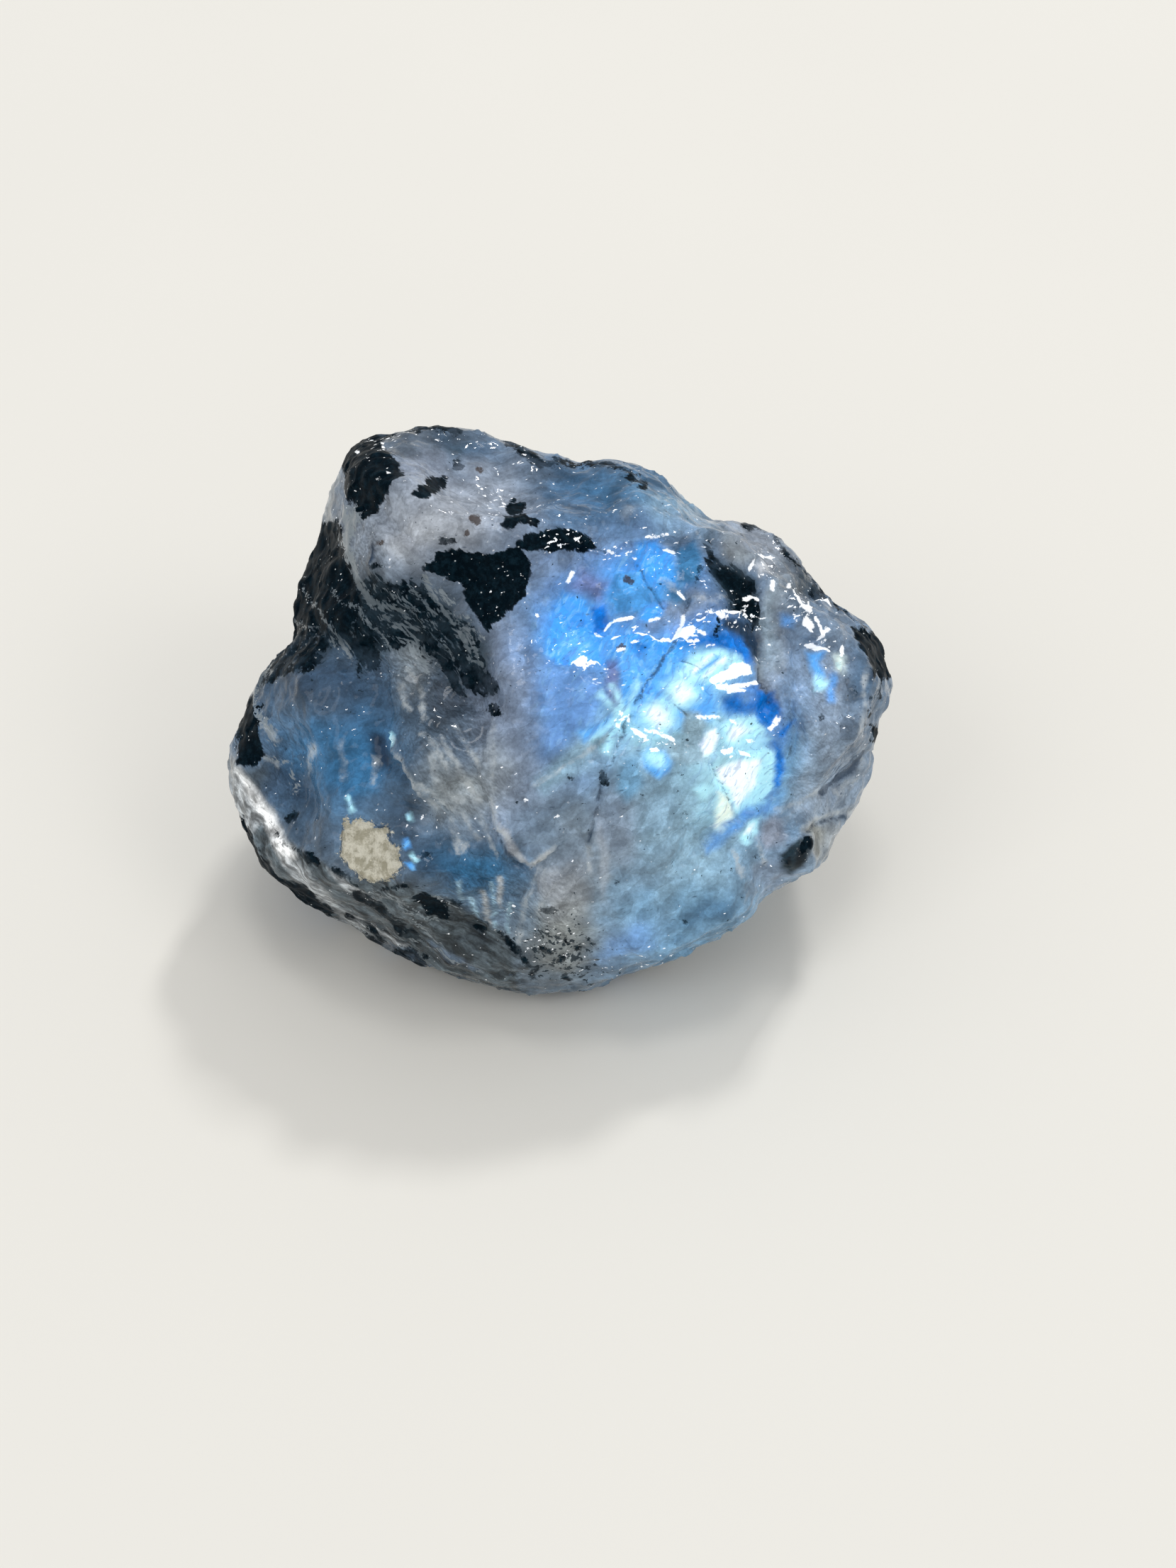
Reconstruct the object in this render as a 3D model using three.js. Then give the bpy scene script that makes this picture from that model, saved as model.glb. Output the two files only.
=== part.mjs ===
// A rough rainbow moonstone: one broken piece of feldspar with black tourmaline in it.
// Millimetres, +Z up, lying on its flat broken underside. The side with the blue flash
// leans back, so it faces forward (-Y) and up. The stone is drawn on that display face:
// u runs to the right, v up the face and w out of it.
import * as THREE from 'three';
import { mergeVertices } from 'three/addons/utils/BufferGeometryUtils.js';
import { ImprovedNoise } from 'three/addons/math/ImprovedNoise.js';

// ---- Driving dimensions, mm and degrees -------------------------------------------------

const FACE_LEAN = 45;
const FACE_CENTRE_HEIGHT = 13.4;
const FRONT_DEPTH = 11.8;
const BACK_DEPTH = 12.6;
const FRONT_ROUNDNESS = 2.5;
const BACK_ROUNDNESS = 2.25;
const SKIN_DETAIL = 19;

// The stone's edge as it shows on the display face, clockwise from the top.
const OUTLINE = [
  [-8, 18.05], [-4.8, 17.8], [-2.6, 16.5], [0, 15.65], [4.5, 15.45], [6.8, 14],
  [9.5, 11.95], [11, 12.2], [13.5, 11.2], [15.2, 9.6], [17.5, 6.9], [19.2, 5.9],
  [20.6, 4], [20.95, 1.2], [20.2, -1.5], [19.4, -4.7], [17.2, -7.5], [16.7, -9.3],
  [15, -10.7], [13.4, -10.9], [12, -12.7], [8, -15], [4.2, -16.8], [0.3, -17.9],
  [-2, -17.9], [-5, -17.1], [-9, -16.2], [-13, -14.1], [-17, -11.8], [-19.5, -8.9],
  [-20.9, -5.4], [-21.1, -3], [-20.1, 0], [-18.7, 2.7], [-17.15, 4.3], [-17.1, 7.5],
  [-15.8, 10.7], [-15.2, 13.3], [-14.2, 15.8], [-12.4, 17.6], [-11, 17.35],
];

// How far the widest edge lies in front of the outline's own plane, by compass point of
// the face, in degrees counted up from the right.
const EDGE_WANDER = [
  [0, -1.5], [40, -2.5], [75, 0.5], [110, -1], [150, -3], [190, -2.5],
  [225, -4], [262, -1.5], [300, 2.6], [335, 1],
];

// Raised ridges and sunken valleys on the display face: path in u and v, rise, half width.
const RIDGES = [
  { path: [[-9.5, 9.5], [-6, 10.6], [-2, 11.2], [2.2, 10.8], [8.5, 10.6]], rise: 0.9, half: 1.8 },
  { path: [[-12, 14], [-7, 13.5]], rise: 1.4, half: 4.2 },
  { path: [[11.5, 10], [14, 7.4], [16.2, 3], [17, -2]], rise: 1.3, half: 2.4 },
  { path: [[15.2, -9.4], [16, -8.8]], rise: 1.0, half: 1.8 },
  { path: [[-19.4, -5], [-17.2, -8.3], [-14, -10.6], [-8, -11.3], [-4, -13.6]], rise: 1.5, half: 1.9 },
  { path: [[-4.6, 0.5], [-4.9, -4.5], [-3.8, -8.3], [-2.2, -10]], rise: 0.7, half: 1.3 },
  { path: [[1, 1], [6, 3], [11, 1.6]], rise: 0.8, half: 3.6 },
  { path: [[-11, 3.6], [-8, 0.5], [-8.6, -4.8]], rise: 0.8, half: 2.3 },
];
const VALLEYS = [
  { path: [[9.6, 12], [10.9, 8], [12.7, 4], [13.8, -1], [14, -5.5], [12.8, -9.5]], rise: -1.5, half: 1.5 },
  { path: [[-2.4, 16.6], [-3.2, 14], [-1.6, 12.6]], rise: -0.9, half: 1.5 },
  { path: [[7.8, 6.6], [6, 2.4], [4.3, -1.2], [2.4, -5], [1.6, -8]], rise: -0.8, half: 1.1 },
  { path: [[-17.4, 4.6], [-13.4, 4.2], [-11.2, 1], [-10.2, -3], [-8.4, -7]], rise: -0.9, half: 1.4 },
  { path: [[17.2, -6.6], [14.6, -6.4], [12.6, -8.4]], rise: -0.9, half: 1.5 },
  { path: [[-6.8, 7.4], [-5, 4.2], [-4.2, 1.2]], rise: -0.7, half: 1.3 },
  { path: [[-20, -6.6], [-17.6, -10.2], [-13, -13], [-8, -14.6]], rise: -1.3, half: 1.2 },
];

// Broken ledges on the display face: the ground on the path's left hand, walked from its
// first point to its last, lies lower by the drop, and climbs back within the reach.
const LEDGES = [
  { path: [[-0.6, -8.8], [-2.2, -9.9], [-3.9, -8.4], [-5, -4.5], [-4.3, -0.2]], drop: 1.0, reach: 4.5 },
  { path: [[-4.2, 1], [-8.4, 4.6], [-12, 7.6], [-13.6, 12]], drop: 1.4, reach: 5.5 },
  { path: [[-8.4, -5.4], [-9.7, -4.4], [-11.2, -1.6], [-11, 2]], drop: 0.9, reach: 5 },
  { path: [[2.4, 10.4], [-1.9, 9.6], [-4.2, 5.4], [-3.6, 2.4]], drop: -0.7, reach: 4 },
  { path: [[-9.6, -10.9], [-7.2, -12.3], [-4, -14.6], [-1.4, -16]], drop: -0.9, reach: 3.4 },
  { path: [[13.4, -5.6], [11.6, -6.6], [9.6, -8.6]], drop: 0.6, reach: 4 },
];

// Shell-shaped break scars: where each bites, as a direction out of the stone's middle in
// u, v and w, how deep it goes there and how wide the ball is that would fit in it.
const SCARS = [
  // On the display face.
  { toward: [-0.66, -0.16, 0.6], depth: 1.3, ball: 15 },
  { toward: [-0.1, 0.86, 0.62], depth: 1.0, ball: 13 },
  { toward: [0.18, 0.3, 0.9], depth: 0.7, ball: 16 },
  { toward: [0.3, -0.52, 0.78], depth: 1.2, ball: 17 },
  { toward: [-0.22, -0.64, 0.72], depth: 1.3, ball: 9 },
  { toward: [0.62, 0.12, 0.7], depth: 0.7, ball: 8 },
  { toward: [-0.86, 0.42, 0.3], depth: 1.5, ball: 13 },
  { toward: [0.86, -0.3, 0.4], depth: 0.9, ball: 10 },
  { toward: [0.56, 0.62, 0.42], depth: 0.8, ball: 10 },
  // Round the back and underneath.
  { toward: [0.75, 0.5, -0.5], depth: 1.9, ball: 16 },
  { toward: [0.15, 0.85, -0.5], depth: 1.7, ball: 18 },
  { toward: [-0.5, 0.75, -0.45], depth: 1.9, ball: 15 },
  { toward: [-0.9, 0.1, -0.45], depth: 1.8, ball: 14 },
  { toward: [-0.25, 0.4, -0.9], depth: 1.6, ball: 17 },
  { toward: [0.45, 0.25, -0.9], depth: 1.7, ball: 14 },
  { toward: [0.95, -0.2, -0.3], depth: 1.6, ball: 12 },
  { toward: [0.6, -0.72, -0.35], depth: 1.5, ball: 13 },
  { toward: [-0.72, -0.6, -0.4], depth: 1.6, ball: 12 },
  { toward: [0.0, -0.95, -0.1], depth: 1.0, ball: 10 },
];

// Lumps and pits all over: size across one lump, and how far it stands proud. They are
// lower along the stone's edge, where the outline has its own.
const LUMPS = [
  { across: 7.5, rise: 0.8, seed: 3.1 },
  { across: 3.6, rise: 0.42, seed: 11.7 },
];
const EDGE_LUMP_SHARE = 0.3;

// Ridges, valleys and ledges stray from their drawn paths by up to this much, in waves of
// this length.
const STRAY = 1.3;
const STRAY_WAVE = 4.2;

// Relief of the display face begins and is full at these heights over the edge.
const RELIEF_START = 2.5;
const RELIEF_FULL = 6.5;

// ---- Outline and profile ----------------------------------------------------------------

const FULL_TURN = 2 * Math.PI;
const OUTLINE_STEPS = 480;

function sampleOutline() {
  const corners = OUTLINE.map(([u, v]) => new THREE.Vector3(u, v, 0));
  const loop = new THREE.CatmullRomCurve3(corners, true, 'centripetal');
  const samples = loop.getPoints(OUTLINE_STEPS).slice(0, -1).map((p) => ({
    angle: (Math.atan2(p.y, p.x) + FULL_TURN) % FULL_TURN,
    radius: Math.hypot(p.x, p.y),
  }));
  samples.sort((a, b) => a.angle - b.angle);
  return samples;
}

const outlineSamples = sampleOutline();

function outlineRadius(angle) {
  const next = outlineSamples.findIndex((s) => s.angle > angle);
  const count = outlineSamples.length;
  const high = outlineSamples[(next + count) % count];
  const low = outlineSamples[(next - 1 + count) % count];
  const gap = (high.angle - low.angle + FULL_TURN) % FULL_TURN;
  const past = (angle - low.angle + FULL_TURN) % FULL_TURN;
  return THREE.MathUtils.lerp(low.radius, high.radius, gap > 0 ? past / gap : 0);
}

function edgeWander(angle) {
  const degrees = THREE.MathUtils.radToDeg(angle);
  let weightSum = 0;
  let sum = 0;
  for (const [at, offset] of EDGE_WANDER) {
    const apart = Math.abs(((degrees - at + 540) % 360) - 180);
    const weight = Math.exp(-((apart / 24) ** 2));
    weightSum += weight;
    sum += weight * offset;
  }
  return sum / weightSum;
}

// How far out towards the stone's edge a direction points: 0 in the middle, 1 on the edge.
function reachOf(direction) {
  const roundness = direction.z > 0 ? FRONT_ROUNDNESS : BACK_ROUNDNESS;
  const out = Math.hypot(direction.x, direction.y);
  const up = Math.abs(direction.z);
  return out * (out ** roundness + up ** roundness) ** (-1 / roundness);
}

// A point of the plain stone, before its relief, in the direction of a unit vector.
function plainPoint(direction) {
  const angle = (Math.atan2(direction.y, direction.x) + FULL_TURN) % FULL_TURN;
  const front = direction.z > 0;
  const roundness = front ? FRONT_ROUNDNESS : BACK_ROUNDNESS;
  const bulge = front ? FRONT_DEPTH : -BACK_DEPTH;
  const reach = reachOf(direction);
  const radius = outlineRadius(angle) * reach;
  const w = bulge * (1 - reach ** roundness) ** (1 / roundness) + edgeWander(angle) * reach ** 3;
  return new THREE.Vector3(radius * Math.cos(angle), radius * Math.sin(angle), w);
}

// ---- Relief -----------------------------------------------------------------------------

const noise = new ImprovedNoise();

// How far a place on the display face lies from a path, and whether on its left hand.
function besidePath(path, u, v) {
  const here = new THREE.Vector3(u, v, 0);
  const closest = new THREE.Vector3();
  const nearest = { apart: Infinity, onLeft: false };
  for (let i = 0; i + 1 < path.length; i += 1) {
    const start = new THREE.Vector3(path[i][0], path[i][1], 0);
    const end = new THREE.Vector3(path[i + 1][0], path[i + 1][1], 0);
    new THREE.Line3(start, end).closestPointToPoint(here, true, closest);
    const apart = closest.distanceTo(here);
    if (apart < nearest.apart) {
      nearest.apart = apart;
      nearest.onLeft = end.sub(start).cross(here.clone().sub(start)).z > 0;
    }
  }
  return nearest;
}

// Ridges and valleys fade out where the face turns to the sides.
function faceRelief(point) {
  const fade = THREE.MathUtils.smoothstep(point.z, RELIEF_START, RELIEF_FULL);
  if (fade === 0) {
    return 0;
  }
  const u = point.x + STRAY * noise.noise(point.x / STRAY_WAVE, point.y / STRAY_WAVE, 0.5);
  const v = point.y + STRAY * noise.noise(point.x / STRAY_WAVE, point.y / STRAY_WAVE, 7.5);
  let rise = 0;
  for (const crease of [...RIDGES, ...VALLEYS]) {
    const apart = besidePath(crease.path, u, v).apart / crease.half;
    rise += crease.rise * Math.exp(-apart * apart);
  }
  for (const ledge of LEDGES) {
    const beside = besidePath(ledge.path, u, v);
    const left = beside.onLeft ? 1 : 0;
    rise -= ledge.drop * left * Math.max(0, 1 - beside.apart / ledge.reach);
  }
  return rise * fade;
}

// A scar takes away what lies inside its ball, and leaves the ball's shell-shaped hollow.
function takeScars(point) {
  for (const scar of SCARS) {
    const toward = new THREE.Vector3(...scar.toward).normalize();
    const skin = plainPoint(toward);
    const centre = skin.clone().addScaledVector(toward, scar.ball - scar.depth);
    const away = point.clone().sub(centre);
    const inside = scar.ball - away.length();
    if (inside > 0) {
      point.addScaledVector(away.normalize(), inside);
    }
  }
  return point;
}

function lumpRise(point) {
  let rise = 0;
  for (const lump of LUMPS) {
    const scale = 1 / lump.across;
    const x = point.x * scale + lump.seed;
    const y = point.y * scale - lump.seed;
    const z = point.z * scale + 2 * lump.seed;
    rise += lump.rise * noise.noise(x, y, z) * 2;
  }
  return rise;
}

// ---- The stone --------------------------------------------------------------------------

const lean = THREE.MathUtils.degToRad(FACE_LEAN);

// From the display face's u, v, w to the upright stone, flat where it would dip below 0.
function stand(point) {
  const y = point.y * Math.sin(lean) - point.z * Math.cos(lean);
  const z = FACE_CENTRE_HEIGHT + point.y * Math.cos(lean) + point.z * Math.sin(lean);
  return new THREE.Vector3(point.x, y, Math.max(z, 0));
}

function stoneGeometry() {
  const ball = new THREE.IcosahedronGeometry(1, SKIN_DETAIL);
  ball.deleteAttribute('normal');
  ball.deleteAttribute('uv');
  const skin = mergeVertices(ball, 1e-5);
  const places = skin.attributes.position;
  for (let i = 0; i < places.count; i += 1) {
    const direction = new THREE.Vector3().fromBufferAttribute(places, i).normalize();
    const point = plainPoint(direction);
    point.z += faceRelief(point);
    takeScars(point);
    const edge = THREE.MathUtils.smoothstep(reachOf(direction), 0.85, 1);
    const share = THREE.MathUtils.lerp(1, EDGE_LUMP_SHARE, edge);
    point.addScaledVector(direction, share * lumpRise(point));
    const stood = stand(point);
    places.setXYZ(i, stood.x, stood.y, stood.z);
  }
  skin.computeVertexNormals();
  return skin;
}

const feldspar = new THREE.MeshStandardMaterial({ color: 0x6f8299, roughness: 0.28, metalness: 0 });

const moonstone = new THREE.Mesh(stoneGeometry(), feldspar);
moonstone.name = 'moonstone';

const specimen = new THREE.Group();
specimen.add(moonstone);

export default specimen;
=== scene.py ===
"""A rough rainbow moonstone: cloudy grey-blue feldspar with a blue flash, black
tourmaline in its left side and a little chalky crust, resting on its flat broken face."""
import math

import bmesh
import bpy
import numpy as np
from bpy.props import FloatProperty, FloatVectorProperty, IntProperty, PointerProperty
from mathutils import Matrix, Vector, noise


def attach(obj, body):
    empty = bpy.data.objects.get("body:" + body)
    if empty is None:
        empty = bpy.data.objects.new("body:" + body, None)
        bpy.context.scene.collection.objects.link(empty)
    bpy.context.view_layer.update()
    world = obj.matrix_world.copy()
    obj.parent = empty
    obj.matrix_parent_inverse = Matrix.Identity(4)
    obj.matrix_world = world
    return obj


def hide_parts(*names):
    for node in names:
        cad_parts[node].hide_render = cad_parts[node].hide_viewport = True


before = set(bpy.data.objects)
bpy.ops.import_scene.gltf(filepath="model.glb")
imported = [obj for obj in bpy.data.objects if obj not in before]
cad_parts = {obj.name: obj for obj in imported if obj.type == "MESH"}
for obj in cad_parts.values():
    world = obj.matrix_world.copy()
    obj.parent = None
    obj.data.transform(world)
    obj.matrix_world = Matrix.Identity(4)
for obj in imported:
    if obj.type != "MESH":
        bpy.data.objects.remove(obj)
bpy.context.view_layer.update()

bl_info = {
    "name": "Rough Moonstone",
    "version": (1, 0, 0),
    "blender": (4, 5, 0),
    "location": "3D View > Sidebar > Moonstone",
    "description": "Dresses the moonstone solid with its broken relief, flash and inclusions",
    "category": "Object",
}

MM = 0.001

# ---- The display face -------------------------------------------------------------------
# The stone is drawn on the side with the flash, in millimetres: u runs to the right, v up
# the face and w out of it. The face leans back, so it looks forward and up.

FACE_LEAN = math.radians(45)
FACE_CENTRE_HEIGHT = 13.4
FACE_RIGHT = np.array([1.0, 0.0, 0.0])
FACE_UP = np.array([0.0, math.sin(FACE_LEAN), math.cos(FACE_LEAN)])
FACE_OUT = np.array([0.0, -math.cos(FACE_LEAN), math.sin(FACE_LEAN)])

# All markings are drawn as they look from this point in front of the face: u, v and how far
# out, in millimetres.
DRAWN_FROM = (1.79, -4.57, 150)


def shade(code):
    """A colour code such as 8fa0b4 as the linear colour that Blender works in."""
    levels = [int(code[i : i + 2], 16) / 255 for i in (0, 2, 4)]
    return tuple(c / 12.92 if c <= 0.04045 else ((c + 0.055) / 1.055) ** 2.4 for c in levels)


# The feldspar's tones, as colour codes. Azure, sky, royal, bar, lagoon, cyan, hot and straw paint the
# stone's blue flash, a sheen, into its colour, and the near-white glass tone paints a highlight.
TONES = {
    "body": "6f8296",
    "lavender": "8e98a9",
    "plum": "7488bd",
    "pale": "99a1ac",
    "milk": "c6cbd1",
    "dusk": "3a434b",
    "gloom": "526171",
    "murk": "2a3a43",
    "bruise": "5a76b0",
    "cream": "949895",
    "slate": "345b7c",
    "mist": "a2c4d6",
    "steel": "3a739f",
    "deep": "223850",
    "teal": "26628a",
    "cornflower": "6c9bd8",
    "azure": "46a2f6",
    "sky": "5cadf8",
    "royal": "0a76d6",
    "cyan": "b2ebfb",
    "hot": "eaf7fc",
    "straw": "e6f6ea",
    "wall": "4b555b",
    "soot": "151e25",
    "ash": "a8aeb2",
    "haze": "8aabc0",
    "shallow": "7aacd0",
    "glass": "f4f6f6",
    "bar": "66a4ea",
    "lagoon": "4a94d4",
    "pitch": "081a24",
    "veil": "97a6b9",
}

# How strongly each tone glows wherever it is laid: a painted glow, mostly on the flash, whose blue sheen
# is painted into the colour.
FLASH_LIGHT = {
    "cornflower": 0.1,
    "steel": 0.04,
    "lagoon": 0.05,
    "azure": 0.18,
    "sky": 0.2,
    "royal": 0.06,
    "bar": 0.08,
    "cyan": 0.29,
    "hot": 0.42,
    "straw": 0.3,
    "mist": 0.05,
}

# Soft tones of the feldspar and of the ground of the flash, a sheen painted into the colour,
# later ones over earlier ones: tone, middle, half sizes, turn in degrees, strength.
WASHES = [
    ("pitch", (-16, 8), (4, 5), 0, 0.95),
    ("murk", (-9.6, 5.6), (5.4, 2.6), -32, 0.95),
    ("slate", (1.5, 13.8), (7.5, 2.6), -6, 0.95),
    ("mist", (7.2, 12.6), (2.8, 1.2), -20, 0.5),
    ("milk", (-5.4, 17.1), (1.1, 0.35), -15, 0.6),
    ("pale", (-7.6, 13.0), (5.6, 3.4), 12, 1.0),
    ("milk", (-7, 12.4), (2.4, 1.0), 8, 0.25),
    ("milk", (-9, 11.5), (2.2, 0.9), 20, 0.6),
    ("lavender", (-8.6, 15.6), (3.0, 1.0), 6, 0.7),
    ("dusk", (-8.5, 17.2), (3.2, 0.8), 6, 0.7),
    ("slate", (-5.2, 16.7), (2.2, 0.9), -5, 0.8),
    ("pale", (-2.8, 14.0), (1.5, 2.0), 30, 0.6),
    ("slate", (0.4, 14.0), (2.2, 1.3), 0, 0.6),
    ("teal", (3.6, 13.9), (2.2, 1.2), 0, 0.5),
    ("cream", (4.0, 12.3), (0.6, 0.3), 0, 0.6),
    ("murk", (-6.4, 16.7), (0.6, 0.8), 0, 0.7),
    ("gloom", (-2.2, 15.4), (1.2, 1.0), 0, 0.5),
    ("lavender", (-3.2, 1.0), (2.6, 6.0), 5, 0.95),
    ("dusk", (-8.2, 0.2), (3.4, 2.6), 0, 0.95),
    ("cream", (-6.6, -4.9), (2.6, 2.0), -30, 1.0),
    ("cream", (-4.4, -3.4), (0.9, 1.6), -10, 0.8),
    ("gloom", (-6.5, -2.6), (1.1, 1.2), 0, 0.75),
    ("dusk", (-10.3, -4.3), (1.1, 2.8), 24, 0.6),
    ("cream", (-9.6, 2.6), (1.3, 1.6), 0, 0.75),
    ("steel", (-14.2, -2.4), (4.2, 4.4), 0, 0.95),
    ("deep", (-15.2, 2.0), (3.8, 2.0), -10, 0.7),
    ("gloom", (-15.4, 0.6), (2.2, 1.4), 0, 0.55),
    ("dusk", (-8.0, -0.2), (1.8, 1.6), 0, 0.5),
    ("rust", (-7.2, 0.4), (1.7, 0.9), 20, 0.22),
    ("deep", (-15.6, 1.2), (3.2, 0.9), -6, 0.25),
    ("deep", (-17.6, -4.8), (1.5, 2.4), 30, 0.8),
    ("slate", (-16.2, -7.2), (2.2, 1.0), -30, 0.6),
    ("deep", (-10.0, -6.4), (1.4, 2.8), 25, 0.5),
    ("teal", (-4.6, -10.1), (3.6, 2.2), -8, 1.0),
    ("deep", (-8.3, -9.9), (1.4, 1.2), 0, 0.6),
    ("lavender", (-2.8, -6.4), (2.6, 3.2), 0, 0.7),
    ("slate", (0.4, -6.8), (4.4, 2.2), 30, 0.4),
    ("haze", (6.8, -7.6), (5.8, 4.8), 10, 0.95),
    ("shallow", (6.4, -13.0), (6.0, 2.8), 12, 0.9),
    ("lavender", (13.6, -10.4), (1.4, 0.9), 40, 0.7),
    ("cream", (0.3, -12.2), (1.9, 2.6), 0, 1.0),
    ("cream", (1.2, -7.6), (1.1, 2.6), 15, 0.3),
    ("lavender", (0.4, -11), (2.2, 3.4), 0, 0.35),
    ("haze", (6.9, -10.6), (1.1, 3.0), -12, 0.6),
    ("cornflower", (4.2, -14.9), (1.8, 1.0), 25, 0.7),
    ("slate", (9.4, -12.8), (1.8, 0.9), 20, 0.7),
    ("mist", (9.2, -9.4), (1.6, 1.6), 0, 0.5),
    ("lavender", (3.6, -7.2), (1.6, 3.0), 20, 0.7),
    ("milk", (2.8, -9.6), (0.5, 2.4), 8, 0.45),
    ("milk", (-0.7, -11.3), (0.9, 1.0), 0, 0.4),
    ("cream", (-0.2, -15.0), (2.4, 1.8), 0, 0.8),
    ("veil", (16.6, -1.5), (3.0, 6.0), 0, 0.9),
    ("gloom", (14.4, 6.6), (1.7, 1.8), 30, 0.65),
    ("gloom", (16.8, -2.6), (1.0, 1.8), 20, 0.3),
    ("pale", (15.6, -5.6), (1.6, 1.0), 30, 0.5),
    ("gloom", (18.6, -0.6), (0.8, 2.6), 0, 0.6),
    ("ash", (16.7, -8.3), (0.6, 1.1), -10, 0.9),
    ("dusk", (14.6, 9.4), (3.4, 1.0), -38, 0.6),
    ("slate", (19.3, 2.6), (1.3, 2.4), 10, 0.6),
    ("lavender", (4.4, 9.6), (5.6, 1.6), 0, 0.7),
    ("slate", (13.8, -2.0), (1.0, 4.4), 0, 0.6),
    ("cornflower", (0.9, 1.0), (2.9, 4.0), 0, 0.9),
    ("lavender", (-3.3, 1.2), (1.4, 2.8), 5, 0.5),
    ("azure", (1.0, 5.2), (2.4, 2.4), 0, 0.9),
    ("azure", (5.2, 8.2), (3.4, 2.2), -10, 0.85),
    ("azure", (5.4, 3.4), (3.4, 3.0), 0, 0.9),
    ("royal", (10.4, 4.2), (2.6, 2.0), 0, 0.95),
    ("royal", (12.0, 0.8), (1.9, 3.0), 0, 0.9),
    ("azure", (12.4, -3.4), (1.6, 3.0), 0, 0.9),
    ("lavender", (7.4, 6.4), (2.6, 0.9), 0, 0.8),
    ("cyan", (8.0, 1.4), (3.2, 2.0), 20, 0.9),
    ("cyan", (6.6, -0.6), (2.8, 1.4), 20, 0.9),
    ("cyan", (11.2, -3.4), (2.5, 3.0), 10, 0.95),
    ("haze", (8.4, -2.6), (2.2, 1.5), 0, 0.6),
    ("royal", (13.6, -1.8), (0.4, 3.2), 4, 0.6),
    ("deep", (12.9, 2.9), (0.35, 2.4), 14, 0.8),
    ("ash", (13.5, 4.6), (1.0, 4.8), -3, 0.7),
    ("mist", (13.4, 5.0), (0.7, 2.2), -3, 0.35),
    ("murk", (15.2, 8.0), (1.1, 1.0), -40, 0.75),
    ("murk", (11.1, 7.8), (1.1, 2.4), 34, 0.8),
    ("cream", (11.3, 10.1), (1.3, 0.7), -40, 0.6),
    ("pale", (12.5, 11.0), (2.4, 0.9), -32, 0.75),
    ("teal", (-5.2, -10.0), (2.6, 1.4), -10, 0.75),
    ("gloom", (-15.6, -7.5), (1.5, 1.0), -30, 0.6),
    ("wall", (-16.8, -10.4), (4.4, 1.5), -42, 0.9),
    ("wall", (-8.8, -14.0), (6.4, 1.9), -26, 1.0),
    ("soot", (-4.6, -15.6), (4.2, 1.3), -16, 0.5),
    ("wall", (-19.6, -4.6), (0.9, 1.2), -30, 0.8),
    ("ash", (-20.2, -7.0), (0.7, 2.0), 22, 0.9),
    ("ash", (-15.4, -11.2), (3.2, 0.9), -42, 0.9),
    ("ash", (-14.6, 14.2), (0.5, 1.9), -12, 1.0),
    ("murk", (-6.0, 4.6), (1.2, 3.4), 32, 0.85),
    ("slate", (0.6, 14.2), (3.0, 1.4), -4, 0.5),
]
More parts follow.
